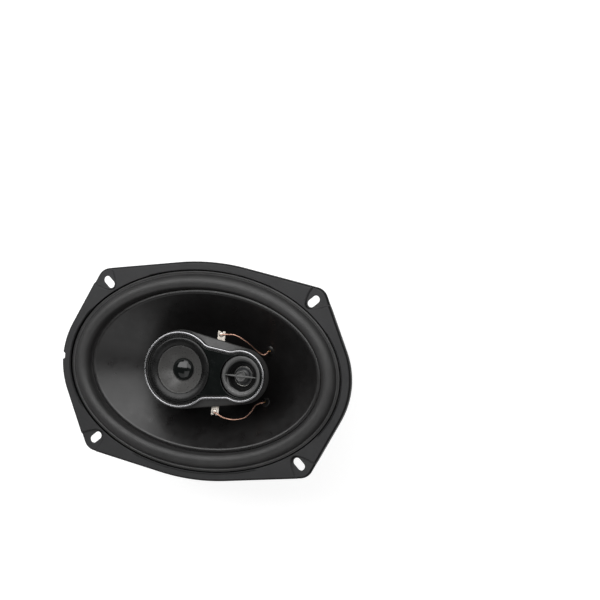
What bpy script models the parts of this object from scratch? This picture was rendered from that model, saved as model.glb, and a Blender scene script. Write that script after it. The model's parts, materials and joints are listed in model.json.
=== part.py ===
"""Oval three-way coaxial car speaker, in metres.

The speaker stands on its magnet cover: the origin is the centre of the cover's underside,
+Z points to the front of the speaker and +X runs along the oval's long axis.
"""

import math

import bmesh
import bpy
import numpy as np
from mathutils import Matrix, Vector

MM = 0.001
GAP = 0.3 * MM

# Flange and basket
FLANGE_Z = 82.0 * MM
FLANGE_HALF = (117.5 * MM, 82.0 * MM)
EAR_CENTRE = (83.3 * MM, 59.9 * MM)
EAR_RADIUS = 10.7 * MM
SLOT_SIZE = (10.5 * MM, 6.0 * MM)
SLOT_TILT = math.radians(42.0)
RIM_DROP = 4.5 * MM
NOTCH_SIZE = (2.4 * MM, 5.0 * MM)
SHEET = 1.0 * MM
SEAT_Z = 29.2 * MM
SHELF_Z = 37.0 * MM
LANDING_Z = 79.9 * MM
LEG_COUNT = 6
LEG_HALF_WIDTH = 8.0 * MM
BODY_START = (45.0 * MM, 44.0 * MM, 38.5 * MM)
BODY_END = (99.5 * MM, 65.0 * MM, 74.5 * MM)

# Woofer cone and its suspension
CONE_NECK_RADIUS = 13.6 * MM
CONE_NECK_Z = 43.0 * MM
CONE_EDGE = (93.0 * MM, 60.5 * MM, 78.0 * MM)
CONE_LIP = 2.2 * MM
CONE_THICKNESS = 0.6 * MM
ROLL_CREST = (100.6 * MM, 85.2 * MM)
ROLL_HALF_WIDTH = 6.4 * MM
ROLL_BASE = 79.0 * MM
ROLL_NARROWER = 34.0 * MM
FORMER = (12.8 * MM, 13.2 * MM, 19.0 * MM, 46.0 * MM)
WINDING = (13.5 * MM, 13.95 * MM, 19.5 * MM, 31.5 * MM)
EYELET_AT = (45.8 * MM, 19.5 * MM)

# Magnetic circuit
MAGNET = (22.0 * MM, 42.8 * MM, 6.8 * MM, 22.8 * MM)
TOP_PLATE = (14.4 * MM, 40.0 * MM, 23.1 * MM, 27.9 * MM)
POLE_RADIUS = 12.4 * MM
POLE_TOP = 29.5 * MM
BACK_PLATE = (40.0 * MM, 1.5 * MM, 6.5 * MM)
COVER = (45.3 * MM, 43.3 * MM, 24.0 * MM, 1.2 * MM)
RIVET_CIRCLE = 24.0 * MM

# Pod: the large lobe holds the midrange, the small lobe the tweeter
MID_X = -13.9 * MM
TWEETER_X = 35.1 * MM
MID_LOBE = 27.7 * MM
TWEETER_LOBE = 18.6 * MM
NECK_LEVEL = 20.05 * MM
NECK_SLOPE = -0.12
NECK_FILLET = 10.0 * MM
POD_TOP = 93.0 * MM
TRIM_WIDTH = 1.5 * MM
TRIM_DEPTH = 1.5 * MM
PLATE_TOP = 91.9 * MM
PLATE_DEPTH = 0.8 * MM
PLATE_BITE = 24.7 * MM
PLATE_LEFT = -1.0 * MM
POST_RADIUS = 6.0 * MM
POD_FLOOR = 66.0 * MM

TAB_SIZE = (6.0 * MM, 12.0 * MM, 0.6 * MM)
TAB_CENTRE = (14.5 * MM, 25.4 * MM, 83.5 * MM)
LEAD_RADIUS = 0.55 * MM

# Angles of the big rings: even steps, with more of them round the ears
QUARTER_ANGLES = (0, 8, 16, 24, 30, 33, 36, 39, 43, 50, 58, 66, 74, 82)
SOFT_RING_STEPS = 44


def clear_scene():
    """Remove every object of the open scene."""
    for obj in list(bpy.data.objects):
        bpy.data.objects.remove(obj)


def make_collection(name):
    """Add a collection to the scene."""
    coll = bpy.data.collections.new(name)
    bpy.context.scene.collection.children.link(coll)
    return coll


def make_material(name, colour, roughness, metallic=0.0):
    """A plain Principled material."""
    material = bpy.data.materials.new(name)
    material.use_nodes = True
    shader = material.node_tree.nodes["Principled BSDF"]
    shader.inputs["Base Color"].default_value = (*colour, 1.0)
    shader.inputs["Roughness"].default_value = roughness
    shader.inputs["Metallic"].default_value = metallic
    return material


def finish_object(name, data, look, place=(0.0, 0.0, 0.0)):
    """Link a part into the speaker's collection with its own copy of a material."""
    obj = bpy.data.objects.new(name, data)
    colour, roughness, metallic = look
    obj.data.materials.append(make_material(name, colour, roughness, metallic))
    obj.location = place
    PARTS.objects.link(obj)
    return obj


def smooth(obj, angle=35.0):
    """Shade a part smooth, with its real edges kept sharp."""
    obj.data.shade_smooth()
    obj.data.set_sharp_from_angle(angle=math.radians(angle))


def turned(name, profile, look, centre=(0.0, 0.0), steps=24):
    """Turn a closed section of (radius, height) pairs about a vertical axis.

    The section runs down its outer side. An edge that lies on the axis is left out.
    """
    edges = []
    for i, point in enumerate(profile):
        j = (i + 1) % len(profile)
        if point[0] > 0.0 or profile[j][0] > 0.0:
            edges.append((i, j))
    mesh = bpy.data.meshes.new(name)
    mesh.from_pydata([(radius, 0.0, height) for radius, height in profile], edges, [])
    obj = finish_object(name, mesh, look, (centre[0], centre[1], 0.0))
    screw = obj.modifiers.new("Turn", "SCREW")
    screw.axis = "Z"
    screw.steps = steps
    screw.render_steps = steps
    screw.use_merge_vertices = True
    screw.merge_threshold = 0.00001
    screw.use_smooth_shade = True
    return obj


def scaled(profile):
    """A profile of millimetre pairs, in metres."""
    return [(radius * MM, height * MM) for radius, height in profile]


def ring_section(inner, outer, low, high):
    """The profile of a plain ring."""
    return [(outer, high), (outer, low), (inner, low), (inner, high)]


def loft_mesh(name, rings, join_ends=False, cap_ends=False):
    """Skin a stack of rings that hold the same number of points."""
    shape = bmesh.new()
    rows = [[shape.verts.new(point) for point in ring] for ring in rings]
    pairs = list(zip(rows, rows[1:]))
    if join_ends:
        pairs.append((rows[-1], rows[0]))
    size = len(rows[0])
    for near, far in pairs:
        for i in range(size):
            j = (i + 1) % size
            shape.faces.new((near[i], far[i], far[j], near[j]))
    if cap_ends:
        shape.faces.new(rows[0])
        shape.faces.new(rows[-1][::-1])
    if join_ends or cap_ends:
        bmesh.ops.recalc_face_normals(shape, faces=shape.faces)
    mesh = bpy.data.meshes.new(name)
    shape.to_mesh(mesh)
    shape.free()
    return mesh


def thicken(obj, thickness):
    """Give a front surface its sheet thickness, towards the back."""
    solid = obj.modifiers.new("Sheet", "SOLIDIFY")
    solid.thickness = thickness
    solid.offset = -1.0
    solid.use_even_offset = True


def cut(obj, cutter):
    """Subtract a cutter from a part."""
    boolean = obj.modifiers.new("Cut", "BOOLEAN")
    boolean.operation = "DIFFERENCE"
    boolean.object = cutter


def join_on(obj, extra):
    """Fuse a hidden shape to a part."""
    boolean = obj.modifiers.new("Join", "BOOLEAN")
    boolean.operation = "UNION"
    boolean.object = extra


def hidden_object(name, mesh, matrix=None):
    """A guide shape used only by Booleans."""
    obj = bpy.data.objects.new(name, mesh)
    if matrix is not None:
        obj.matrix_world = matrix
    obj.hide_render = True
    obj.display_type = "WIRE"
    CUTTERS.objects.link(obj)
    return obj


def round_cutter(name, radius, low, high, centre=(0.0, 0.0), matrix=None, sides=16):
    """A cylinder from low to high, for a hole."""
    shape = bmesh.new()
    bmesh.ops.create_cone(
        shape, cap_ends=True, segments=sides, radius1=radius, radius2=radius, depth=high - low
    )
    bmesh.ops.translate(shape, verts=shape.verts, vec=(*centre, 0.5 * (low + high)))
    mesh = bpy.data.meshes.new(name)
    shape.to_mesh(mesh)
    shape.free()
    return hidden_object(name, mesh, matrix)


def box_mesh(name, low, high):
    """A box between two corners."""
    shape = bmesh.new()
    bmesh.ops.create_cube(shape, size=1.0)
    span = [b - a for a, b in zip(low, high)]
    middle = [0.5 * (a + b) for a, b in zip(low, high)]
    bmesh.ops.scale(shape, verts=shape.verts, vec=span)
    bmesh.ops.translate(shape, verts=shape.verts, vec=middle)
    mesh = bpy.data.meshes.new(name)
    shape.to_mesh(mesh)
    shape.free()
    return mesh


def prism_cutter(name, outline, low, high):
    """A vertical prism over a flat outline."""
    rings = [[(x, y, z) for x, y in outline] for z in (low, high)]
    return hidden_object(name, loft_mesh(name, rings, cap_ends=True))


def flat_part(name, outlines, low, high, look):
    """A flat plate: the first outline is its edge and the others are its holes."""
    curve = bpy.data.curves.new(name, "CURVE")
    curve.dimensions = "2D"
    curve.fill_mode = "BOTH"
    curve.extrude = 0.5 * (high - low)
    for outline in outlines:
        spline = curve.splines.new("POLY")
        spline.points.add(len(outline) - 1)
        for point, (x, y) in zip(spline.points, outline):
            point.co = (x, y, 0.0, 1.0)
        spline.use_cyclic_u = True
    return finish_object(name, curve, look, (0.0, 0.0, 0.5 * (low + high)))


def circle(centre_x, centre_y, radius, count=32):
    """Points round a circle."""
    angles = [2.0 * math.pi * i / count for i in range(count)]
    return [(centre_x + radius * math.cos(a), centre_y + radius * math.sin(a)) for a in angles]


def arc(centre_x, centre_y, radius, start, stop, count):
    """Points along an arc, with both ends."""
    angles = np.linspace(start, stop, count)
    return [(centre_x + radius * math.cos(a), centre_y + radius * math.sin(a)) for a in angles]


# ---- outlines of the oval parts -------------------------------------------------------


def ring_angles():
    """The directions, in radians, of a basket ring's points, alike in all four quarters."""
    first = list(QUARTER_ANGLES)
    second = [180.0 - a for a in reversed(first[1:])]
    half = first + [90.0] + second
    return [math.radians(a) for a in half + [a + 180.0 for a in half]]


def soft_angles():
    """The directions of a soft ring's points."""
    return [2.0 * math.pi * i / SOFT_RING_STEPS for i in range(SOFT_RING_STEPS)]


def oval_reach(half_length, half_width, angle):
    """How far an ellipse reaches in one direction."""
    across = half_width * math.cos(angle)
    along = half_length * math.sin(angle)
    return half_length * half_width / math.hypot(across, along)


def oval_ring(half_length, half_width, height, angles):
    """Points of an ellipse, in the given directions from its centre."""
    ring = []
    for angle in angles:
        reach = oval_reach(half_length, half_width, angle)
        ring.append((reach * math.cos(angle), reach * math.sin(angle), height))
    return ring


def flange_ring(inset, height, angles):
    """Points of the flange's outline: the hull of the oval and the four round ears."""
    tilts = np.linspace(0.0, 2.0 * math.pi, 1440, endpoint=False)
    nx = np.cos(tilts)
    ny = np.sin(tilts)
    oval = np.hypot(FLANGE_HALF[0] * nx, FLANGE_HALF[1] * ny)
    ears = np.abs(EAR_CENTRE[0] * nx) + np.abs(EAR_CENTRE[1] * ny) + EAR_RADIUS
    support = np.maximum(oval, ears) - inset
    ring = []
    for angle in angles:
        facing = nx * math.cos(angle) + ny * math.sin(angle)
        ahead = facing > 0.2
        reach = float(np.min(support[ahead] / facing[ahead]))
        ring.append((reach * math.cos(angle), reach * math.sin(angle), height))
    return ring


def cone_height(x, y):
    """The front of the cone above a point."""
    reach = cone_bend(math.atan2(y, x))
    share = (math.hypot(x, y) - CONE_NECK_RADIUS) / (reach - CONE_NECK_RADIUS)
    return CONE_NECK_Z + share * (CONE_EDGE[2] - CONE_NECK_Z)


def cone_bend(angle):
    """How far the cone slopes out before its flat lip."""
    return oval_reach(CONE_EDGE[0] - CONE_LIP, CONE_EDGE[1] - CONE_LIP, angle)


# ---- outlines of the pod --------------------------------------------------------------


def fillet_to_neck(lobe_x, lobe_radius, level, fillet, side):
    """The fillet's centre, between a lobe and the neck line; side is +1 right of the lobe."""
    length = math.hypot(1.0, NECK_SLOPE)
    along = Vector((1.0, NECK_SLOPE)) / length
    out = Vector((-NECK_SLOPE, 1.0)) / length
    start = Vector((-lobe_x, level)) + out * fillet
    half_b = start.dot(along)
    rest = start.length_squared - (lobe_radius + fillet) ** 2
    shift = -half_b + side * math.sqrt(half_b * half_b - rest)
    return Vector((0.0, level)) + out * fillet + along * shift, out


def keyhole(grow, arc_points=(13, 3, 10)):
    """The pod's waisted outline, offset outwards by grow, from the tweeter end round."""
    lobe_points, fillet_points, small_points = arc_points
    big = MID_LOBE + grow
    small = TWEETER_LOBE + grow
    fillet = NECK_FILLET - grow
    level = NECK_LEVEL + grow * math.hypot(1.0, NECK_SLOPE)
    centre_b, out = fillet_to_neck(TWEETER_X, small, level, fillet, -1.0)
    centre_a, out = fillet_to_neck(MID_X, big, level, fillet, 1.0)
    touch_b = math.atan2(centre_b.y, centre_b.x - TWEETER_X)
    touch_a = math.atan2(centre_a.y, centre_a.x - MID_X)
    neck = math.atan2(-out.y, -out.x) % (2.0 * math.pi)
    upper = arc(TWEETER_X, 0.0, small, 0.0, touch_b, small_points)
    back_b = (touch_b + math.pi) % (2.0 * math.pi)
    back_a = (touch_a + math.pi) % (2.0 * math.pi)
    upper += arc(centre_b.x, centre_b.y, fillet, back_b, neck, fillet_points)[1:]
    upper += arc(centre_a.x, centre_a.y, fillet, neck, back_a, fillet_points)
    upper += arc(MID_X, 0.0, big, touch_a, math.pi, lobe_points)[1:]
    lower = [(x, -y) for x, y in reversed(upper[1:-1])]
    return upper + lower


def hull_outline(big_x, big, small_x, small, arc_points=(13, 3, 10)):
    """Two circles and their common tangents, with the same number of points as keyhole."""
    lobe_points, fillet_points, small_points = arc_points
    lean = math.asin((big - small) / (small_x - big_x))
    touch = 0.5 * math.pi - lean
    upper = arc(small_x, 0.0, small, 0.0, touch, small_points)
    ahead = arc(big_x, 0.0, big, touch, math.pi, lobe_points)
    start = upper[-1]
    stop = ahead[0]
    steps = 2 * fillet_points - 1
    for i in range(1, steps):
        share = i / steps
        upper.append((start[0] + share * (stop[0] - start[0]), start[1] + share * (stop[1] - start[1])))
    upper += ahead
    lower = [(x, -y) for x, y in reversed(upper[1:-1])]
    return upper + lower


def plate_outline():
    """The faceplate's edge: the keyhole up to the round bite that the midrange takes."""
    rim = keyhole(-1.8 * MM)
    kept = [(x, y) for x, y in rim if x > PLATE_LEFT]
    upper = [point for point in kept if point[1] >= 0.0]
    lower = [point for point in kept if point[1] < 0.0]
    corner = math.atan2(upper[-1][1], upper[-1][0] - MID_X)
    return upper + arc(MID_X, 0.0, PLATE_BITE, corner, -corner, 15) + lower


def at_height(outline, height):
    """Lift a flat outline."""
    return [(x, y, height) for x, y in outline]


# ---- basket ---------------------------------------------------------------------------


def window_outline(index):
    """One window of the basket, seen from the front: between two legs."""
    step = 2.0 * math.pi / LEG_COUNT
    first_leg = index * step
    outline = []
    for share, count, backwards in ((0.14, 5, False), (0.84, 8, True)):
        middle = first_leg + 0.5 * step
        reach = window_reach(middle, share)
        margin = math.asin(LEG_HALF_WIDTH / reach)
        angles = list(np.linspace(first_leg + margin, first_leg + step - margin, count))
        if backwards:
            angles.reverse()
        for angle in angles:
            reach = window_reach(angle, share)
            outline.append((reach * math.cos(angle), reach * math.sin(angle)))
    return outline[::-1]


def window_reach(angle, share):
    """A radius part of the way up the basket's sloping body."""
    near = oval_reach(BODY_START[0], BODY_START[1], angle)
    far = oval_reach(BODY_END[0], BODY_END[1], angle)
    return near + share * (far - near)


def slot_outline(centre, tilt):
    """A slot with round ends."""
    length, width = SLOT_SIZE
    half = 0.5 * (length - width)
    ends = arc(half, 0.0, 0.5 * width, -0.5 * math.pi, 0.5 * math.pi, 7)
    ends += arc(-half, 0.0, 0.5 * width, 0.5 * math.pi, 1.5 * math.pi, 7)
    turn = Matrix.Rotation(tilt, 2)
    points = [turn @ Vector(point) for point in ends]
    return [(centre[0] + point.x, centre[1] + point.y) for point in points]


def basket_rings():
    """The basket's front surface, from the seat's hole out to the rolled rim."""
    angles = ring_angles()
    sections = (
        (16.0 * MM, 16.0 * MM, SEAT_Z),
        (30.0 * MM, 30.0 * MM, SEAT_Z),
        (32.5 * MM, 32.5 * MM, SHELF_Z),
        (42.0 * MM, 42.0 * MM, SHELF_Z),
        BODY_START,
        BODY_END,
        (103.0 * MM, 68.5 * MM, LANDING_Z),
        (109.6 * MM, 75.1 * MM, LANDING_Z),
        (110.2 * MM, 75.7 * MM, FLANGE_Z),
    )
    rings = [oval_ring(a, b, z, angles) for a, b, z in sections]
    rim = ((1.6 * MM, 0.0), (0.0, 1.8 * MM), (0.0, RIM_DROP))
    rings += [flange_ring(inset, FLANGE_Z - drop, angles) for inset, drop in rim]
    return rings


def build_basket(look):
    """Pressed-steel basket: seat, spider shelf, six windows, landing, flange and rim."""
    basket = finish_object("basket", loft_mesh("basket", basket_rings()), look)
    thicken(basket, SHEET)
    tongue = box_mesh("tongue", (40.0 * MM, -6.0 * MM, 36.1 * MM), (53.0 * MM, 6.0 * MM, 36.9 * MM))
    join_on(basket, hidden_object("terminal_tongue", tongue))
    for index in range(LEG_COUNT):
        window = prism_cutter(f"window_{index + 1}", window_outline(index), 37.2 * MM, 79.0 * MM)
        cut(basket, window)
    for side_x in (-1.0, 1.0):
        for side_y in (-1.0, 1.0):
            centre = (side_x * EAR_CENTRE[0], side_y * EAR_CENTRE[1])
            outline = slot_outline(centre, side_x * side_y * SLOT_TILT)
            cut(basket, prism_cutter("slot", outline, 76.0 * MM, 84.0 * MM))
    depth, width = NOTCH_SIZE
    far = -FLANGE_HALF[0] - 1.0 * MM
    near = -FLANGE_HALF[0] + depth
    notch = box_mesh("notch", (far, -0.5 * width, 76.0 * MM), (near, 0.5 * width, 84.0 * MM))
    cut(basket, hidden_object("rim_notch", notch))
    for x, y in rivet_places():
        cut(basket, round_cutter("rivet_hole", 2.3 * MM, 27.5 * MM, 30.0 * MM, (x, y), sides=12))
    cut(basket, round_cutter("board_hole", 1.7 * MM, 35.0 * MM, 38.0 * MM, (49.0 * MM, 0.0), sides=12))
    smooth(basket)


def rivet_places():
    """The four rivets between the basket and the top plate."""
    turns = [math.radians(45.0 + 90.0 * i) for i in range(4)]
    return [(RIVET_CIRCLE * math.cos(a), RIVET_CIRCLE * math.sin(a)) for a in turns]


def build_plate_rivets(look):
    """Round-headed rivets through the basket's seat into the top plate."""
    profile = [(0.0, 30.9), (1.9, 30.6), (3.2, 29.9), (3.4, 29.5), (2.0, 29.5), (2.0, 24.4), (0.0, 24.4)]
    profile = [(radius * MM, height * MM) for radius, height in profile]
    for index, place in enumerate(rivet_places()):
        turned(f"plate_rivet_{index + 1}", profile, look, place, steps=10)


# ---- magnetic circuit -----------------------------------------------------------------


def build_magnet_circuit(steel, ferrite, rubber):
    """Yoke with its bored pole, ring magnet, top plate and the rubber cover under them."""
    back_radius, back_low, back_high = BACK_PLATE
    yoke = [
        (POLE_RADIUS, POLE_TOP),
        (POLE_RADIUS, back_high),
        (back_radius, back_high),
        (back_radius, back_low),
        (5.2 * MM, back_low),
        (5.2 * MM, 4.7 * MM),
        (2.6 * MM, 4.7 * MM),
        (2.6 * MM, POLE_TOP),
    ]
    turned("yoke", yoke, steel, steps=32)
    turned("magnet_ring", ring_section(*MAGNET), ferrite, steps=32)
    plate = turned("top_plate", ring_section(*TOP_PLATE), steel, steps=32)
    for x, y in rivet_places():
        cut(plate, round_cutter("plate_hole", 2.3 * MM, 22.5 * MM, 28.5 * MM, (x, y), sides=12))
    outer, inner, top, floor = COVER
    cover = [
        (outer, top),
        (outer, 1.5 * MM),
        (outer - 1.5 * MM, 0.0),
        (0.0, 0.0),
        (0.0, floor),
        (inner, floor),
        (inner, top),
    ]
    turned("magnet_cover", cover, rubber, steps=40)


# ---- moving cone ----------------------------------------------------------------------


def build_cone(poly, paper, copper, brass):
    """Oval cone, coil former, winding and the two lead eyelets."""
    angles = soft_angles()
    rings = []
    for share in (0.0, 0.25, 0.5, 0.75, 1.0):
        rings.append(cone_ring(share, angles))
    rings.append(oval_ring(*CONE_EDGE, angles))
    cone = finish_object("cone", loft_mesh("cone", rings), poly)
    thicken(cone, CONE_THICKNESS)
    turned("voice_coil_former", ring_section(*FORMER), paper)
    turned("voice_coil_winding", ring_section(*WINDING), copper)
    for side, name in ((1.0, "upper"), (-1.0, "lower")):
        place = eyelet_matrix(side)
        cut(cone, round_cutter(f"eyelet_hole_{name}", 1.5 * MM, -3.0 * MM, 3.0 * MM, matrix=place, sides=10))
        rivet = [(0.0, 1.05), (1.1, 1.05), (2.2, 0.95), (2.2, 0.4), (1.1, 0.4), (1.1, -1.0)]
        rivet += [(2.0, -1.0), (2.0, -1.5), (0.0, -1.5)]
        eyelet = turned(f"cone_eyelet_{name}", scaled(rivet), brass, steps=10)
        eyelet.matrix_world = place
    smooth(cone, 60.0)


def cone_ring(share, angles):
    """A ring of the cone, part of the way from the neck to the edge in every direction."""
    ring = []
    for angle in angles:
        reach = CONE_NECK_RADIUS + share * (cone_bend(angle) - CONE_NECK_RADIUS)
        x, y = reach * math.cos(angle), reach * math.sin(angle)
        ring.append((x, y, cone_height(x, y)))
    return ring


def eyelet_matrix(side):
    """Where an eyelet stands on the cone, square to its surface."""
    x, y = EYELET_AT[0], side * EYELET_AT[1]
    step = 0.5 * MM
    slope_x = (cone_height(x + step, y) - cone_height(x - step, y)) / (2.0 * step)
    slope_y = (cone_height(x, y + step) - cone_height(x, y - step)) / (2.0 * step)
    normal = Vector((-slope_x, -slope_y, 1.0)).normalized()
    turn = Vector((0.0, 0.0, 1.0)).rotation_difference(normal).to_matrix().to_4x4()
    return Matrix.Translation((x, y, cone_height(x, y))) @ turn


def build_surround(look):
    """Half-roll edge: inner flap under the cone's lip, roll, and outer landing."""
    angles = soft_angles()
    rings = []
    flap = ((91.5 * MM, 59.0 * MM), (94.2 * MM, 61.5 * MM))
    for half_length, half_width in flap:
        rings.append(oval_ring(half_length, half_width, 77.0 * MM, angles))
    crest_x, crest_z = ROLL_CREST
    for share in (0.8, 0.6, 0.4, 0.2):
        turn = share * math.pi
        half_length = crest_x + ROLL_HALF_WIDTH * math.cos(turn)
        height = ROLL_BASE + (crest_z - ROLL_BASE) * math.sin(turn)
        rings.append(oval_ring(half_length, half_length - ROLL_NARROWER, height, angles))
    for half_length in (crest_x + ROLL_HALF_WIDTH, 108.6 * MM):
        rings.append(oval_ring(half_length, half_length - ROLL_NARROWER, 81.2 * MM, angles))
    surround = finish_object("surround", loft_mesh("surround", rings), look)
    thicken(surround, 0.9 * MM)
    smooth(surround, 70.0)


def build_spider(look):
    """Corrugated centring disc between the coil former and the basket's shelf."""
    inner, first, last, outer = 13.5 * MM, 17.0 * MM, 33.0 * MM, 41.0 * MM
    level = 38.9 * MM
    swing = 1.1 * MM
    cloth = 0.5 * MM
    top = [(outer, SHELF_Z + GAP + cloth), (last + 1.5 * MM, SHELF_Z + GAP + cloth)]
    for i in range(7):
        radius = last + (first - last) * i / 6.0
        top.append((radius, level + swing * math.cos(math.pi * i)))
    top.append((inner, level))
    under = [(radius, height - cloth) for radius, height in top]
    turned("spider", under + top[::-1], look, steps=28)


# ---- pod ------------------------------------------------------------------------------


def pod_sections():
    """The housing's rings: down its outside, then up its inside."""
    return [
        at_height(keyhole(-0.1 * MM), 91.2 * MM),
        at_height(keyhole(0.4 * MM), 89.6 * MM),
        at_height(hull_outline(MID_X, 29.7 * MM, TWEETER_X, 20.8 * MM), 87.0 * MM),
        at_height(hull_outline(MID_X, 29.7 * MM, TWEETER_X, 20.8 * MM), 85.8 * MM),
        at_height(hull_outline(MID_X, 27.5 * MM, TWEETER_X, 18.6 * MM), 84.8 * MM),
        at_height(hull_outline(MID_X, 25.0 * MM, TWEETER_X, 15.5 * MM), 76.6 * MM),
        at_height(hull_outline(MID_X, 24.2 * MM, 8.0 * MM, 9.0 * MM), 76.2 * MM),
        at_height(hull_outline(-12.5 * MM, 21.0 * MM, 5.0 * MM, 8.5 * MM), POD_FLOOR),
        at_height(hull_outline(-12.5 * MM, 19.5 * MM, 5.0 * MM, 7.0 * MM), 67.5 * MM),
        at_height(hull_outline(MID_X, 22.7 * MM, 8.0 * MM, 7.5 * MM), 77.6 * MM),
        at_height(hull_outline(MID_X, 23.5 * MM, TWEETER_X, 14.0 * MM), 77.9 * MM),
        at_height(hull_outline(MID_X, 25.8 * MM, TWEETER_X, 17.0 * MM), 85.5 * MM),
        at_height(keyhole(-1.4 * MM), 88.2 * MM),
        at_height(keyhole(-1.5 * MM), 91.2 * MM),
    ]


def pod_shell_mesh():
    """The housing as one closed skin; its two innermost rings are closed by flat floors."""
    rings = pod_sections()
    shape = bmesh.new()
    rows = [[shape.verts.new(point) for point in ring] for ring in rings]
    size = len(rows[0])
    floor = 7
    for index, near in enumerate(rows):
        if index == floor:
            continue
        far = rows[(index + 1) % len(rows)]
        for i in range(size):
            j = (i + 1) % size
            shape.faces.new((near[i], far[i], far[j], near[j]))
    shape.faces.new(rows[floor])
    shape.faces.new(rows[floor + 1][::-1])
    bmesh.ops.recalc_face_normals(shape, faces=shape.faces)
    mesh = bpy.data.meshes.new("pod_housing")
    shape.to_mesh(mesh)
    shape.free()
    return mesh


def build_pod(gloss, chrome, steel):
    """Housing, faceplate, rim trim, post and the long screw that holds the pod."""
    housing = finish_object("pod_housing", pod_shell_mesh(), gloss)
    boss = round_cutter("screw_boss", 4.5 * MM, 67.0 * MM, 70.6 * MM)
    join_on(housing, boss)
    cut(housing, round_cutter("boss_hole", 2.5 * MM, 65.0 * MM, 72.0 * MM, sides=12))
    tab_x, tab_y, tab_z = TAB_CENTRE
    for side in (-1.0, 1.0):
        low = (tab_x - 3.3 * MM, side * tab_y - 7.0 * MM, tab_z - 0.6 * MM)
        high = (tab_x + 3.3 * MM, side * tab_y + 7.0 * MM, tab_z + 0.6 * MM)
        cut(housing, hidden_object("tab_slot", box_mesh("tab_slot", low, high)))
    smooth(housing, 30.0)

    rim = (keyhole(0.5 * TRIM_WIDTH), keyhole(-0.5 * TRIM_WIDTH))
    flat_part("pod_trim", rim, POD_TOP - TRIM_DEPTH, POD_TOP, chrome)
    plate = (plate_outline(), circle(TWEETER_X, 0.0, 15.8 * MM, 24))
    flat_part("pod_faceplate", plate, PLATE_TOP - PLATE_DEPTH, PLATE_TOP, gloss)

    turned("pod_post", ring_section(2.6 * MM, POST_RADIUS, 29.8 * MM, 65.7 * MM), gloss, steps=16)
    screw = [(0.0, 69.6), (1.6, 69.6), (2.2, 68.8), (2.2, 4.4), (4.6, 4.4), (4.6, 2.4)]
    screw += [(4.0, 1.8), (0.0, 1.8)]
    turned("post_screw", scaled(screw), steel, steps=12)


def build_tabs(tin):
    """Tinned solder tabs that come out through slots in the housing's sides."""
    for side, name in ((1.0, "upper"), (-1.0, "lower")):
        tab_x, tab_y, tab_z = TAB_CENTRE
        half = [0.5 * size for size in TAB_SIZE]
        middle = (tab_x, side * tab_y, tab_z)
        low = [m - h for m, h in zip(middle, half)]
        high = [m + h for m, h in zip(middle, half)]
        tab = finish_object(f"solder_tab_{name}", box_mesh(f"solder_tab_{name}", low, high), tin)
        bevel = tab.modifiers.new("Edges", "BEVEL")
        bevel.width = 0.15 * MM
        bevel.segments = 1


# ---- midrange and tweeter -------------------------------------------------------------


def build_midrange(plastic, paper, cap_look, rubber, copper, steel, magnet):
    """Small cone driver with an inside magnet, on the axis of the large lobe."""
    centre = (MID_X, 0.0)
    frame = [(25.4, 90.0), (25.4, 87.9), (22.9, 87.6), (12.0, 80.5)]
    frame += [(8.4, 80.5), (8.4, 81.3), (11.6, 81.3), (22.4, 88.3), (22.8, 90.0)]
    turned("mid_frame", scaled(frame), plastic, centre, steps=36)
    edge = [(25.9, 90.7), (25.9, 90.3), (24.1, 90.3), (23.5, 91.1), (22.6, 91.4), (20.6, 91.2)]
    edge += [(18.8, 90.6), (17.9, 90.6), (17.9, 91.1), (18.5, 91.1), (20.6, 91.8), (22.6, 92.0)]
    edge += [(23.8, 91.6), (24.5, 90.7)]
    turned("mid_surround", scaled(edge), rubber, centre, steps=36)
    cone = [(18.7, 90.3), (18.7, 89.8), (17.4, 89.8), (8.4, 82.7), (8.0, 83.1), (16.9, 90.3)]
    turned("mid_cone", scaled(cone), paper, centre, steps=28)
    cap = [(0.0, 87.0), (2.8, 86.6), (5.3, 85.6), (7.1, 84.3), (7.6, 83.7), (7.1, 83.5)]
    cap += [(6.6, 84.0), (5.0, 85.1), (2.7, 86.1), (0.0, 86.5)]
    turned("mid_dust_cap", scaled(cap), cap_look, centre, steps=20)
    turned("mid_voice_coil", scaled(ring_section(7.2, 7.6, 77.5, 82.3)), copper, centre, steps=20)
    yoke = [(10.5, 80.2), (10.5, 71.2), (0.0, 71.2), (0.0, 72.6), (8.1, 72.6), (8.1, 80.2)]
    turned("mid_yoke", scaled(yoke), steel, centre)
    disc("mid_magnet", 6.6 * MM, 72.9 * MM, 78.6 * MM, magnet, centre)
    disc("mid_top_plate", 6.8 * MM, 78.9 * MM, 80.1 * MM, steel, centre)


def disc(name, radius, low, high, look, centre):
    """A solid disc."""
    profile = [(0.0, high), (radius, high), (radius, low), (0.0, low)]
    turned(name, profile, look, centre, steps=20)


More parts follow.
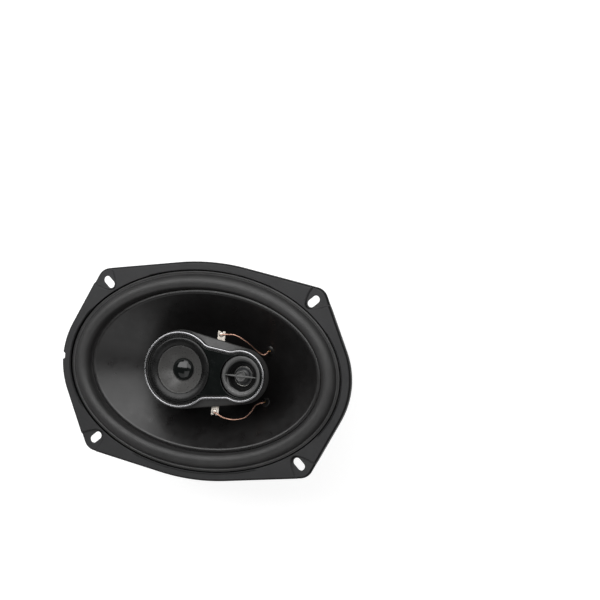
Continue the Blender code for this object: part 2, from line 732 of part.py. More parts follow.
def build_tweeter(plastic, silk, copper, steel, magnet):
    """Dome tweeter with a horn-shaped bezel and a bridge across its mouth."""
    centre = (TWEETER_X, 0.0)
    bezel = [(15.5, 90.0), (15.5, 88.7), (16.6, 88.7), (16.6, 87.7), (10.6, 86.4), (9.8, 83.9)]
    bezel += [(7.4, 83.9), (7.4, 85.0), (10.4, 89.3), (11.2, 90.0)]
    ring = turned("tweeter_bezel", scaled(bezel), plastic, centre, steps=28)
    bar = box_mesh(
        "bridge_bar",
        (TWEETER_X - 12.5 * MM, -0.9 * MM, 88.5 * MM),
        (TWEETER_X + 12.5 * MM, 0.9 * MM, 90.4 * MM),
    )
    join_on(ring, hidden_object("bridge_bar", bar))
    join_on(ring, round_cutter("bridge_hub", 4.0 * MM, 88.0 * MM, 90.6 * MM, centre, sides=20))
    dome = [(0.0, 87.2), (2.2, 86.9), (4.2, 86.1), (5.8, 84.9), (6.9, 84.8), (6.9, 84.3), (5.5, 84.4)]
    dome += [(4.0, 85.6), (2.1, 86.4), (0.0, 86.7)]
    turned("tweeter_dome", scaled(dome), silk, centre, steps=20)
    turned("tweeter_voice_coil", scaled(ring_section(5.7, 6.1, 80.5, 83.9)), copper, centre, steps=20)
    yoke = [(9.6, 83.6), (9.6, 78.3), (0.0, 78.3), (0.0, 79.5), (6.6, 79.5), (6.6, 83.6)]
    turned("tweeter_yoke", scaled(yoke), steel, centre)
    disc("tweeter_magnet", 5.1 * MM, 79.8 * MM, 81.9 * MM, magnet, centre)
    disc("tweeter_top_plate", 5.3 * MM, 82.2 * MM, 83.4 * MM, steel, centre)


def build_capacitors(look):
    """The two crossover capacitors, lying across the pod."""
    sizes = ((6.5 * MM, 76.1 * MM, 3.4 * MM, 12.0 * MM), (19.0 * MM, 82.0 * MM, 3.2 * MM, 14.0 * MM))
    for index, (x, z, radius, length) in enumerate(sizes):
        half = 0.5 * length
        profile = [(0.0, half), (radius - 0.4 * MM, half), (radius, half - 0.4 * MM)]
        profile += [(r, -z_low) for r, z_low in reversed(profile)]
        can = turned(f"crossover_capacitor_{index + 1}", profile, look, steps=12)
        can.location = (x, 0.0, z)
        can.rotation_euler = (0.5 * math.pi, 0.0, 0.0)


# ---- terminals and leads --------------------------------------------------------------


def spade_outline(centre_y, half_width):
    """A flat spade blade that narrows a little at its tip."""
    return [
        (52.5 * MM, centre_y - half_width),
        (67.6 * MM, centre_y - half_width),
        (69.0 * MM, centre_y - 0.6 * half_width),
        (69.0 * MM, centre_y + 0.6 * half_width),
        (67.6 * MM, centre_y + half_width),
        (52.5 * MM, centre_y + half_width),
    ]


def spool(name, place, shank, head, levels, look):
    """A rivet with a head at each end; levels are bottom, lower head, upper head, top."""
    bottom, low, high, top = levels
    profile = [(0.0, top), (head, top), (head, high), (shank, high), (shank, low)]
    profile += [(head, low), (head, bottom), (0.0, bottom)]
    turned(name, scaled(profile), look, place, steps=10)


def build_terminals(board_look, tin, brass):
    """Insulating board on the basket's tongue, with a wide and a narrow spade blade."""
    places = ((56.0 * MM, 7.0 * MM), (56.0 * MM, -7.0 * MM))
    corner = scaled([(43.0, -12.0), (60.0, -12.0), (60.0, 12.0), (43.0, 12.0)])
    holes = [circle(x, y, 1.5 * MM, 12) for x, y in places]
    holes.append(circle(49.0 * MM, 0.0, 1.7 * MM, 12))
    flat_part("terminal_board", [corner] + holes, 34.5 * MM, 35.7 * MM, board_look)
    blades = (("terminal_positive", 7.0 * MM, 3.15 * MM), ("terminal_negative", -7.0 * MM, 2.4 * MM))
    for index, (name, y, half_width) in enumerate(blades):
        tip_hole = circle(65.5 * MM, y, 0.9 * MM, 10)
        rivet_hole = circle(56.0 * MM, y, 1.5 * MM, 12)
        flat_part(name, (spade_outline(y, half_width), rivet_hole, tip_hole), 33.4 * MM, 34.2 * MM, tin)
        spool(f"terminal_rivet_{index + 1}", places[index], 1.2, 2.2, (32.3, 33.1, 36.0, 36.6), brass)
    spool("board_rivet", (49.0 * MM, 0.0), 1.4, 2.4, (33.5, 34.2, 37.2, 37.7), brass)


def lead(name, route, look):
    """A bare braided lead along a smooth curve through its route."""
    points = smooth_route([Vector(point) * MM for point in route])
    curve = bpy.data.curves.new(name, "CURVE")
    curve.dimensions = "3D"
    curve.bevel_depth = LEAD_RADIUS
    curve.bevel_resolution = 2
    curve.use_fill_caps = True
    spline = curve.splines.new("POLY")
    spline.points.add(len(points) - 1)
    for node, point in zip(spline.points, points):
        node.co = (*point, 1.0)
    return finish_object(name, curve, look)


def smooth_route(route, steps=2):
    """Catmull-Rom points through a route."""
    padded = [2.0 * route[0] - route[1]] + route + [2.0 * route[-1] - route[-2]]
    points = []
    for a, b, c, d in zip(padded, padded[1:], padded[2:], padded[3:]):
        for i in range(steps):
            t = i / steps
            bend = 2.0 * b + (c - a) * t
            bend += (2.0 * a - 5.0 * b + 4.0 * c - d) * t * t
            bend += (3.0 * b - a - 3.0 * c + d) * t * t * t
            points.append(0.5 * bend)
    points.append(route[-1])
    return points


FRONT_UPPER = (
    (14.0, 28.6, 84.75),
    (17.6, 29.2, 84.75),
    (24.6, 29.6, 83.6),
    (29.8, 27.4, 81.0),
    (34.5, 23.6, 76.0),
    (37.0, 20.0, 70.5),
    (39.4, 17.2, 66.3),
    (41.8, 16.0, 63.9),
    (44.0, 17.2, 63.2),
    (45.0, 18.9, 63.3),
)
FRONT_LOWER = (
    (14.0, -29.4, 84.75),
    (17.6, -30.6, 84.75),
    (22.8, -32.7, 84.0),
    (29.8, -33.2, 81.5),
    (35.9, -31.2, 77.0),
    (38.8, -26.9, 72.0),
    (40.0, -22.5, 67.4),
    (42.2, -20.6, 64.4),
    (44.0, -20.0, 63.3),
    (45.0, -19.5, 63.2),
)
REAR_LEAD = (
    (57.2, 10.6, 36.6),
    (58.6, 12.2, 39.0),
    (59.0, 14.6, 44.0),
    (56.5, 17.2, 49.5),
    (52.5, 18.8, 54.0),
    (49.0, 19.6, 56.3),
    (46.9, 19.8, 57.3),
)


def build_leads(copper):
    """Front leads from the tabs to the cone, and rear leads from the terminals to it."""
    lead("front_lead_upper", FRONT_UPPER, copper)
    lead("front_lead_lower", FRONT_LOWER, copper)
    lead("tinsel_lead_positive", REAR_LEAD, copper)
    lead("tinsel_lead_negative", [(x, -y, z) for x, y, z in REAR_LEAD], copper)


def build_speaker():
    """Build every part; a look is a colour, a roughness and a metallic value."""
    black_steel = ((0.025, 0.025, 0.027), 0.45, 0.0)
    steel = ((0.45, 0.45, 0.46), 0.35, 1.0)
    ferrite = ((0.05, 0.05, 0.055), 0.6, 0.0)
    rubber = ((0.02, 0.02, 0.021), 0.5, 0.0)
    poly = ((0.012, 0.012, 0.013), 0.25, 0.0)
    cloth = ((0.30, 0.20, 0.08), 0.9, 0.0)
    former = ((0.35, 0.24, 0.12), 0.6, 0.0)
    copper = ((0.65, 0.33, 0.20), 0.35, 1.0)
    brass = ((0.62, 0.48, 0.22), 0.35, 1.0)
    tin = ((0.85, 0.84, 0.82), 0.25, 1.0)
    gloss = ((0.01, 0.01, 0.012), 0.12, 0.0)
    chrome = ((0.75, 0.75, 0.76), 0.15, 1.0)
    plastic = ((0.10, 0.10, 0.105), 0.45, 0.0)
    paper = ((0.12, 0.12, 0.12), 0.75, 0.0)
    neodymium = ((0.55, 0.55, 0.57), 0.3, 1.0)
    sleeve = ((0.03, 0.04, 0.08), 0.4, 0.0)
    board = ((0.28, 0.15, 0.06), 0.7, 0.0)

    build_basket(black_steel)
    build_plate_rivets(steel)
    build_magnet_circuit(steel, ferrite, rubber)
    build_cone(poly, former, copper, brass)
    build_surround(rubber)
    build_spider(cloth)
    build_pod(gloss, chrome, steel)
    build_tabs(tin)
    build_midrange(plastic, paper, gloss, rubber, copper, steel, neodymium)
    build_tweeter(plastic, gloss, copper, steel, neodymium)
    build_capacitors(sleeve)
    build_terminals(board, tin, brass)
    build_leads(copper)


clear_scene()
PARTS = make_collection("coaxial_car_speaker")
CUTTERS = make_collection("cutters")
build_speaker()
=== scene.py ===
"""Looks of the oval three-way coaxial car speaker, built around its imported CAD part.

The frame is in metres, with +Z to the front of the speaker and +X along its long axis.
The shapes below are written in millimetres and scaled once, when their mesh is made.
"""

import json
import math

import bmesh
import bpy
import numpy as np
from mathutils import Matrix, Vector

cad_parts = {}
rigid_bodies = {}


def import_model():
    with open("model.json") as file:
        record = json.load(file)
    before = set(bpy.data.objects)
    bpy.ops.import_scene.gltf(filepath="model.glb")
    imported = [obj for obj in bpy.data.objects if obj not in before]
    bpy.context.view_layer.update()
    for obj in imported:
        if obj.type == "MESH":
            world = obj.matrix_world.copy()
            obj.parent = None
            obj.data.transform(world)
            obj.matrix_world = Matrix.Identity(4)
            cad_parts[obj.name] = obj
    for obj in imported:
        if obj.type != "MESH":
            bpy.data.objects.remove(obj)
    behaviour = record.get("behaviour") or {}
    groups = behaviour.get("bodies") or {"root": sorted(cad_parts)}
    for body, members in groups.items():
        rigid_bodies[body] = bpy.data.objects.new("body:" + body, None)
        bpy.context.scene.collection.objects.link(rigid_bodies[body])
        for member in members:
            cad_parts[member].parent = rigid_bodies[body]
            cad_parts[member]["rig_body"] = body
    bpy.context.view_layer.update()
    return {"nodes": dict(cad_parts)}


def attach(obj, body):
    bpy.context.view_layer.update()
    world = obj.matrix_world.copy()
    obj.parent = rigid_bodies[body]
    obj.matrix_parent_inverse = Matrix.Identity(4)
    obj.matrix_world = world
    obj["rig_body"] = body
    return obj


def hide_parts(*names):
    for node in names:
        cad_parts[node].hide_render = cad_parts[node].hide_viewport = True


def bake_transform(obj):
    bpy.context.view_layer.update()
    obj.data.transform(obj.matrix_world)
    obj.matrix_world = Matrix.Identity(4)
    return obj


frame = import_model()

MM = 0.001
GRAIN = 1.0e-6

# A rounded bend takes up at most this share of its sides, and has a row just outside it.
BEND_SHARE = 0.42
BEND_FLANK = 1.12

# Flange and basket
FLANGE_Z = 82.0
FLANGE_HALF = (117.5, 82.0)
EAR_CENTRE = (83.3, 59.9)
EAR_RADIUS = 10.7
SLOT_SIZE = (10.5, 6.0)
SLOT_TILT = math.radians(42.0)
LANDING = ((103.0, 68.5), (109.6, 75.1))
STEP_TOP = (110.2, 75.7)
FLANGE_CUT = (74.0, 86.0)
RIM_RADIUS = 1.9
RIM_DROP = 4.5
RIM_FADE = 0.6
PAD_DEPTH = 1.3
PAD_REACH = 7.4
PAD_WIDTH = 2.6
PAD_SLOPE = 1.1
NOTCH_SIZE = (2.4, 5.0)
SHEET = 1.0
SEAT_Z = 29.2
SHELF_Z = 37.0
LANDING_Z = 79.9
BODY_START = (45.0, 44.0, 38.5)
BODY_END = (99.5, 65.0, 74.5)
LEG_COUNT = 6
LEG_HALF_WIDTH = 8.0
WINDOW_SPAN = (0.14, 0.84)
WINDOW_CORNER = 3.5
RIB = (2.6, 1.0)
WINDOW_CUT = (37.2, 79.0)
RIVET_CIRCLE = 24.0
RIVET_HOLE = 2.3
TONGUE_RIVET_AT = (49.0, 0.0)

# Woofer cone and its suspension
CONE_NECK = (13.6, 43.0)
CONE_EDGE = (93.0, 60.5, 78.0)
CONE_LIP = 2.2
ROLL_CREST = (100.6, 85.2)
ROLL_HALF_WIDTH = 6.4
ROLL_BASE = 79.0
ROLL_LENGTHS = (91.5, 94.2, 96.5)
ROLL_NARROWER = (32.5, 32.7, 34.0)
EYELET_AT = (45.8, 19.5)

# Pod
MID_X = -13.9
TWEETER_X = 35.1
MID_LOBE = 27.7
TWEETER_LOBE = 18.6
NECK_LEVEL = 20.05
NECK_SLOPE = -0.12
NECK_FILLET = 10.0
PLATE_LEFT = -1.0
PLATE_BITE = 24.7
TAB_CENTRE = (14.5, 25.4, 83.5)


# ---- meshes from rows of points -------------------------------------------------------


def even_angles(count):
    """Directions all the way round."""
    return np.linspace(0.0, 2.0 * math.pi, count, endpoint=False)


def ring(reach, height, angles, centre=(0.0, 0.0)):
    """A row of points at a reach and height, one in each direction."""
    reach = np.broadcast_to(reach, angles.shape)
    height = np.broadcast_to(height, angles.shape)
    x = centre[0] + reach * np.cos(angles)
    y = centre[1] + reach * np.sin(angles)
    return np.stack((x, y, height), axis=-1)


def oval_reach(half_length, half_width, angles):
    """How far an ellipse reaches in each direction."""
    across = half_width * np.cos(angles)
    along = half_length * np.sin(angles)
    return half_length * half_width / np.hypot(across, along)


def oval(half_length, half_width, height, angles):
    """A row of points round an ellipse."""
    return ring(oval_reach(half_length, half_width, angles), height, angles)


def smoothstep(low, high, value):
    """0 below low, 1 above high, and a soft step between them."""
    t = np.clip((value - low) / (high - low), 0.0, 1.0)
    return t * t * (3.0 - 2.0 * t)


def between(first, last, count):
    """Rows between two rows, without the first and the last."""
    shares = np.linspace(0.0, 1.0, count + 2)[1:-1]
    return [first + share * (last - first) for share in shares]


def softened(rows, radius, steps=4, cyclic=False):
    """Round the bends of a stack of rows; radius is one number or one for each row."""
    rows = np.asarray(rows, float)
    count = len(rows)
    radii = np.broadcast_to(np.asarray(radius, float), (count,))
    soft = []
    for i, here in enumerate(rows):
        if radii[i] <= 0.0 or (not cyclic and i in (0, count - 1)):
            soft.append(here)
            continue
        before = shortened(rows[i - 1] - here, radii[i])
        after = shortened(rows[(i + 1) % count] - here, radii[i])
        soft.append(here + BEND_FLANK * before)
        for t in np.linspace(0.0, 1.0, steps + 1):
            soft.append(here + (1.0 - t) ** 2 * before + t**2 * after)
        soft.append(here + BEND_FLANK * after)
    return np.array(soft)


def shortened(reaches, length):
    """Vectors cut to a length, and to less than half of what they were."""
    size = np.linalg.norm(reaches, axis=-1, keepdims=True)
    return reaches * np.minimum(length / np.maximum(size, 1e-9), BEND_SHARE)


def sheet_rows(rows, thickness):
    """The rows of a closed sheet: its front, a round edge, its back and a round edge."""
    rows = np.asarray(rows, float)
    along = np.roll(rows, -1, axis=1) - np.roll(rows, 1, axis=1)
    across = np.gradient(rows, axis=0)
    normals = np.cross(across, along)
    normals /= np.linalg.norm(normals, axis=-1, keepdims=True)
    back = rows - thickness * normals
    outer_edge = round_edge(rows[-1], back[-1], rows[-1] - rows[-2])
    inner_edge = round_edge(back[0], rows[0], rows[0] - rows[1])
    return np.concatenate((rows, outer_edge, back[::-1], inner_edge))


def round_edge(start, stop, outward):
    """Three rows that turn a half circle from one face of a sheet to the other."""
    outward = outward / np.linalg.norm(outward, axis=-1, keepdims=True)
    middle = 0.5 * (start + stop)
    half = start - middle
    depth = 0.5 * np.linalg.norm(start - stop, axis=-1, keepdims=True)
    turns = (0.25 * math.pi, 0.5 * math.pi, 0.75 * math.pi)
    return np.array([middle + half * math.cos(t) + outward * depth * math.sin(t) for t in turns])


def grid_mesh(name, rows, closed=True, joined=False, capped=False):
    """Skin rows of points with quads, and scale them to metres."""
    rows = np.asarray(rows, float)
    count, size = rows.shape[:2]
    index = np.arange(count * size).reshape(count, size)
    near = index if joined else index[:-1]
    far = np.roll(index, -1, axis=0) if joined else index[1:]
    if closed:
        quads = np.stack((near, far, np.roll(far, -1, 1), np.roll(near, -1, 1)), axis=-1)
    else:
        quads = np.stack((near[:, :-1], far[:, :-1], far[:, 1:], near[:, 1:]), axis=-1)
    faces = quads.reshape(-1, 4).tolist()
    if capped:
        faces += [index[0].tolist(), index[-1][::-1].tolist()]
    mesh = bpy.data.meshes.new(name)
    mesh.from_pydata((rows.reshape(-1, 3) * MM).tolist(), [], faces)
    if joined or capped:
        tidy_mesh(mesh)
    return mesh


def tidy_mesh(mesh):
    """Merge points that meet on an axis, and turn every face outwards."""
    shape = bmesh.new()
    shape.from_mesh(mesh)
    bmesh.ops.remove_doubles(shape, verts=shape.verts, dist=1e-7)
    bmesh.ops.recalc_face_normals(shape, faces=shape.faces)
    shape.to_mesh(mesh)
    shape.free()


def lathe_mesh(name, profile, radius=0.2, centre=(0.0, 0.0), count=144, steps=3):
    """Turn a closed section of (radius, height) pairs, with its corners rounded."""
    angles = even_angles(count)
    rows = [ring(r, z, angles, centre) for r, z in profile]
    if profile[0][0] > 0.0:
        return grid_mesh(name, softened(rows, radius, steps, cyclic=True), joined=True)
    mesh = grid_mesh(name, softened(rows, radius, steps))
    tidy_mesh(mesh)
    return mesh


def flat_mesh(name, outlines, low, high, edge=0.15):
    """A flat plate with rounded edges: its outline, and then its holes."""
    curve = bpy.data.curves.new(name, "CURVE")
    curve.dimensions = "2D"
    curve.fill_mode = "BOTH"
    curve.extrude = (0.5 * (high - low) - edge) * MM
    curve.bevel_depth = edge * MM
    curve.bevel_resolution = 2
    curve.offset = -edge * MM
    for outline in outlines:
        spline = curve.splines.new("POLY")
        spline.points.add(len(outline) - 1)
        for point, (x, y) in zip(spline.points, outline):
            point.co = (x * MM, y * MM, 0.0, 1.0)
        spline.use_cyclic_u = True
    holder = bpy.data.objects.new(name, curve)
    holder.location.z = 0.5 * (low + high) * MM
    return baked(holder)


def baked(holder):
    """The mesh of an object with its modifiers and place applied; the object goes."""
    bpy.context.scene.collection.objects.link(holder)
    bpy.context.view_layer.update()
    graph = bpy.context.evaluated_depsgraph_get()
    mesh = bpy.data.meshes.new_from_object(holder.evaluated_get(graph))
    mesh.transform(holder.matrix_world)
    bpy.data.objects.remove(holder)
    return mesh


def merged(name, meshes):
    """One mesh from several."""
    shape = bmesh.new()
    for mesh in meshes:
        shape.from_mesh(mesh)
        bpy.data.meshes.remove(mesh)
    whole = bpy.data.meshes.new(name)
    shape.to_mesh(whole)
    shape.free()
    return whole


def boolean(mesh, other, operation="DIFFERENCE"):
    """One closed mesh cut by another, or joined to it."""
    holder = bpy.data.objects.new(mesh.name, mesh)
    tool = bpy.data.objects.new("tool", other)
    bpy.context.scene.collection.objects.link(tool)
    step = holder.modifiers.new("Cut", "BOOLEAN")
    step.operation = operation
    step.object = tool
    result = baked(holder)
    bpy.data.objects.remove(tool)
    name = mesh.name
    bpy.data.meshes.remove(mesh)
    result.name = name
    return result


def prism(name, outline, low, high):
    """A vertical prism over a flat outline."""
    flat = np.array([(x, y, 0.0) for x, y in outline])
    rows = [flat + (0.0, 0.0, low), flat + (0.0, 0.0, high)]
    return grid_mesh(name, rows, capped=True)


def circle(centre, radius, count=48):
    """A flat circle."""
    return [tuple(point[:2]) for point in ring(radius, 0.0, even_angles(count), centre)]


def arc(centre_x, centre_y, radius, start, stop, count):
    """Points along an arc, with both ends."""
    turns = np.linspace(start, stop, count)
    return [(centre_x + radius * math.cos(t), centre_y + radius * math.sin(t)) for t in turns]


# ---- procedural materials -------------------------------------------------------------


class Look:
    """A Principled material whose colour, roughness and relief come from textures."""

    def __init__(self, slot, colour, roughness, metallic=0.0, **fixed):
        self.slot = slot
        self.material = bpy.data.materials.new(slot)
        self.material.use_nodes = True
        self.tree = self.material.node_tree
        self.shader = self.tree.nodes["Principled BSDF"]
        self.colour = colour
        self.roughness = roughness
        self.shader.inputs["Metallic"].default_value = metallic
        for socket, value in fixed.items():
            self.shader.inputs[socket.replace("_", " ")].default_value = value
        self.place = self.tree.nodes.new("ShaderNodeTexCoord").outputs["Object"]
        self.last_bump = None

    def node(self, kind, inputs=None, **settings):
        """Add a node; inputs are values or other nodes' sockets."""
        node = self.tree.nodes.new(kind)
        for name, value in settings.items():
            setattr(node, name, value)
        for socket, value in (inputs or {}).items():
            if isinstance(value, bpy.types.NodeSocket):
                self.tree.links.new(value, node.inputs[socket])
            else:
                node.inputs[socket].default_value = value
        return node

    def stretched(self, scale=(1.0, 1.0, 1.0), turn=0.0, shift=(0.0, 0.0, 0.0)):
        """The place, moved, turned about Z and scaled along each axis."""
        inputs = {"Vector": self.place, "Location": shift, "Scale": scale}
        inputs["Rotation"] = (0.0, 0.0, turn)
        return self.node("ShaderNodeMapping", inputs).outputs["Vector"]

    def noise(self, scale, detail=3.0, place=None):
        """Cloudy noise; scale is in blotches to the metre."""
        inputs = {"Vector": place or self.place, "Scale": scale, "Detail": detail}
        return self.node("ShaderNodeTexNoise", inputs).outputs["Fac"]

    def wave(self, scale, place=None, kind="BANDS", direction="X", wobble=0.0):
        """Regular ridges; scale is about a sixth of their number to the metre."""
        settings = {"wave_type": kind}
        settings["bands_direction" if kind == "BANDS" else "rings_direction"] = direction
        inputs = {"Vector": place or self.place, "Scale": scale}
        inputs.update({"Distortion": wobble, "Detail Scale": 2.0})
        return self.node("ShaderNodeTexWave", inputs, **settings).outputs["Fac"]

    def ranged(self, value, low, high, start=0.3, stop=0.7):
        """Map start to stop, where most textures keep, onto two numbers."""
        inputs = {"Value": value, "From Min": start, "From Max": stop}
        inputs.update({"To Min": low, "To Max": high})
        return self.node("ShaderNodeMapRange", inputs).outputs["Result"]

    def math(self, operation, first, second):
        """One step of arithmetic between two sockets."""
        node = self.node("ShaderNodeMath", {0: first, 1: second}, operation=operation)
        return node.outputs["Value"]

    def scaled(self, value, factor):
        """A socket times a number."""
        return self.math("MULTIPLY", value, factor)

    def tinted(self, value, spread=0.15, other=None, start=0.3, stop=0.7):
        """Vary the colour about itself, or from it to another colour."""
        low = [c * (1.0 - spread) for c in self.colour]
        high = other or [min(1.0, c * (1.0 + spread)) for c in self.colour]
        share = self.ranged(value, 0.0, 1.0, start, stop)
        mix = self.node("ShaderNodeMix", data_type="RGBA")
        self.tree.links.new(share, mix.inputs[0])
        mix.inputs[6].default_value = (*low, 1.0)
        mix.inputs[7].default_value = (*high, 1.0)
        self.tree.links.new(mix.outputs[2], self.shader.inputs["Base Color"])
        return self

    def worn(self, value, spread=0.06, start=0.3, stop=0.7):
        """Vary the roughness about its middle."""
        result = self.ranged(value, self.roughness - spread, self.roughness + spread, start, stop)
        self.tree.links.new(result, self.shader.inputs["Roughness"])
        return self

    def raised(self, value, depth):
        """Add a layer of relief; depth is in metres."""
        inputs = {"Height": value, "Distance": depth, "Strength": 1.0}
        if self.last_bump:
            inputs["Normal"] = self.last_bump
        self.last_bump = self.node("ShaderNodeBump", inputs).outputs["Normal"]
        self.tree.links.new(self.last_bump, self.shader.inputs["Normal"])
        return self

    def grained(self, *layers):
        """Relief from fine noise; each layer is (blotches to the metre, depth)."""
        for scale, depth in layers:
            self.raised(self.noise(scale, 2.0), depth * GRAIN)
        return self


def moulded(slot, colour, roughness, peel=(500.0, 6.0), grain=(4200.0, 5.0), **fixed):
    """Moulded plastic or rubber, with a soft and a fine layer of relief."""
    look = Look(slot, colour, roughness, **fixed)
    look.tinted(look.noise(70.0, 5.0), 0.14).worn(look.noise(160.0, 5.0), 0.05)
    return look.grained(peel, grain)


def speckled(slot, colour, roughness, metallic, mottle, wear, relief):
    """Noise for colour, wear and relief, each (blotches to the metre, detail, amount)."""
    look = Look(slot, colour, roughness, metallic)
    look.tinted(look.noise(*mottle[:2]), mottle[2]).worn(look.noise(*wear[:2]), wear[2])
    return look.raised(look.noise(*relief[:2]), relief[2] * GRAIN)


def turned_metal(slot, colour, roughness, centre=0.0, spacing=0.35, depth=5.0):
    """Bright metal with slight stains, and turning lines about an axis at centre on X."""
    look = Look(slot, colour, roughness, 1.0)
    look.tinted(look.noise(140.0, 6.0), 0.12).worn(look.noise(420.0, 5.0), 0.07)
    middle = look.stretched(shift=(-centre * MM, 0.0, 0.0))
    lines = look.wave(ridges(spacing), middle, kind="RINGS", direction="Z", wobble=0.6)
    return look.raised(lines, depth * GRAIN).raised(look.noise(2600.0, 3.0), 4.0 * GRAIN)


def ridges(spacing):
    """The wave texture's scale for ridges some millimetres apart."""
    return 0.32 / (spacing * MM)


def woven(slot, colour, roughness, spacing, depth):
    """Cloth woven square, spacing in millimetres between its threads."""
    look = Look(slot, colour, roughness, Sheen_Weight=0.25)
    warp = look.wave(ridges(spacing), wobble=0.4)
    weft = look.wave(ridges(spacing), direction="Y", wobble=0.4)
    cloth = look.math("MULTIPLY", warp, weft)
    look.tinted(cloth, 0.35, start=0.0, stop=0.8).worn(look.noise(300.0, 4.0), 0.06)
    return look.raised(cloth, depth * GRAIN).raised(look.noise(3000.0, 3.0), 0.2 * depth * GRAIN)


def steel_paint_and_rim_shade():
    """Satin black paint, with painted shade that darkens the rim, where it rolls down from the
    flange, to near black.
    """
    look = Look("black_steel", (0.033, 0.033, 0.034), 0.47, Specular_IOR_Level=0.16)
    place = look.node("ShaderNodeSeparateXYZ", {"Vector": look.place}).outputs
    level = look.math("ADD", place["Z"], pad_depth(look, place))
    above_rim = look.ranged(level, 0.0, 1.0, (FLANGE_Z - 0.4) * MM, (FLANGE_Z - 0.04) * MM)
    rim_end = FLANGE_Z - RIM_DROP
    below_rim = look.ranged(level, 1.0, 0.0, (rim_end - 1.3) * MM, (rim_end - 0.3) * MM)
    # Painted shade: between the flange and the rim's end the colour falls to near black; the other
    # colour is the paint.
    outside_rim_shade = look.math("MAXIMUM", above_rim, below_rim)
    cloud = look.ranged(look.noise(70.0, 5.0), 0.85, 1.0)
    look.tinted(look.math("MULTIPLY", outside_rim_shade, cloud), 0.95, (0.038, 0.038, 0.039), 0.0, 1.0)
    return look.worn(look.noise(160.0, 5.0), 0.05).grained((1300.0, 7.0), (5200.0, 7.0))


def pad_depth(look, place):
    """How deep the ears' pads lie at a point, by the parabola of pad_distance."""
    cosine, sine = math.cos(SLOT_TILT), math.sin(SLOT_TILT)
    x = look.math("ABSOLUTE", place["X"], 0.0)
    y = look.math("ABSOLUTE", place["Y"], 0.0)
    outward = look.math("ADD", look.scaled(x, cosine), look.scaled(y, sine))
    sideways = look.math("SUBTRACT", look.scaled(y, cosine), look.scaled(x, sine))
    middle = EAR_CENTRE[1] * cosine - EAR_CENTRE[0] * sine
    offset = look.math("SUBTRACT", sideways, middle * MM)
    curve = look.scaled(look.math("MULTIPLY", offset, offset), 1.0 / (PAD_WIDTH**2 * MM))
    tip = EAR_CENTRE[0] * cosine + EAR_CENTRE[1] * sine - PAD_REACH
    inside = look.math("SUBTRACT", outward, curve)
    return look.ranged(inside, 0.0, PAD_DEPTH * MM, tip * MM, (tip + 2.0) * MM)


def horn_plastic():
    """Satin grey plastic, glossy black down inside the horn."""
    look = Look("grey_plastic", (0.008, 0.008, 0.008), 0.26)
    height = look.node("ShaderNodeSeparateXYZ", {"Vector": look.place}).outputs["Z"]
    cloud = look.ranged(look.noise(90.0, 5.0), -0.1 * MM, 0.1 * MM)
    level = look.math("ADD", height, cloud)
    black_below, grey_above = 89.5 * MM, 89.8 * MM
    look.tinted(level, 0.1, (0.075, 0.075, 0.074), black_below, grey_above)
    look.worn(level, 0.1, black_below, grey_above)
    return look.grained((800.0, 3.0), (4600.0, 3.0))


def moulded_looks():
    """Paint, rubber and plastics."""
    edge = moulded(
        "edge_rubber",
        (0.031, 0.0305, 0.0305),
        0.46,
        (1500.0, 16.0),
        (5000.0, 14.0),
        Specular_IOR_Level=0.4,
    )
    mid_edge = moulded(
        "mid_edge",
        (0.005, 0.005, 0.005),
        0.28,
        (1000.0, 4.0),
        (4800.0, 4.0),
        Specular_IOR_Level=0.3,
    )
    cone = moulded("black_poly", (0.0065, 0.006, 0.006), 0.32, (260.0, 4.0), (3600.0, 1.5))
    flow = cone.noise(90.0, 4.0, cone.stretched((0.35, 1.0, 1.0), 0.5))
    cone.raised(flow, 20.0 * GRAIN)
    return [
        steel_paint_and_rim_shade(),
        horn_plastic(),
        cone,
        edge,
        mid_edge,
        moulded("cover_rubber", (0.022, 0.022, 0.023), 0.6, (1100.0, 16.0), (5000.0, 14.0)),
        moulded("black_plastic", (0.030, 0.0295, 0.029), 0.36, (700.0, 5.0)),
        moulded("gloss_black", (0.003, 0.0042, 0.0039), 0.12, (320.0, 1.5), (3800.0, 0.8)),
        moulded("sleeve", (0.03, 0.045, 0.10), 0.33, (420.0, 9.0)),
    ]


def metal_looks():
    """Plated, turned, tinned and wound metals, and the ferrite."""
    chrome = ((200.0, 4.0, 0.05), (700.0, 5.0, 0.04), (600.0, 2.0, 0.8))
    solder = ((380.0, 5.0, 0.1), (900.0, 4.0, 0.12), (1100.0, 3.0, 18.0))
    ferrite = Look("ferrite", (0.055, 0.056, 0.060), 0.55)
    ferrite.tinted(ferrite.noise(260.0, 6.0), 0.25).worn(ferrite.noise(900.0, 4.0), 0.1)
    ferrite.raised(ferrite.wave(900.0, wobble=1.5), 3.0 * GRAIN)
    ferrite.raised(ferrite.noise(1900.0, 4.0), 22.0 * GRAIN)
    copper = Look("copper", (0.72, 0.33, 0.17), 0.32, 1.0)
    copper.tinted(copper.noise(900.0, 3.0), 0.18).worn(copper.noise(1500.0, 3.0), 0.08)
    copper.raised(copper.wave(640.0, direction="Z"), 60.0 * GRAIN)
    braid = Look("copper_braid", (0.70, 0.43, 0.33), 0.4, 1.0)
    braid.tinted(braid.noise(1600.0, 3.0), 0.3).worn(braid.noise(2600.0, 3.0), 0.1)
    braid.raised(braid.wave(1100.0, braid.stretched(turn=0.6), wobble=1.0), 40.0 * GRAIN)
    return [
        ferrite,
        copper,
        braid,
        turned_metal("plated_steel", (0.50, 0.49, 0.46), 0.36, spacing=0.4),
        turned_metal("neodymium", (0.56, 0.55, 0.55), 0.3, MID_X, 0.5, 4.0),
        turned_metal("brass", (0.64, 0.48, 0.22), 0.3, spacing=0.3),
        speckled("bright_trim", (0.38, 0.38, 0.39), 0.26, 1.0, *chrome),
        speckled("tinned", (0.66, 0.61, 0.55), 0.5, 1.0, *solder),
    ]


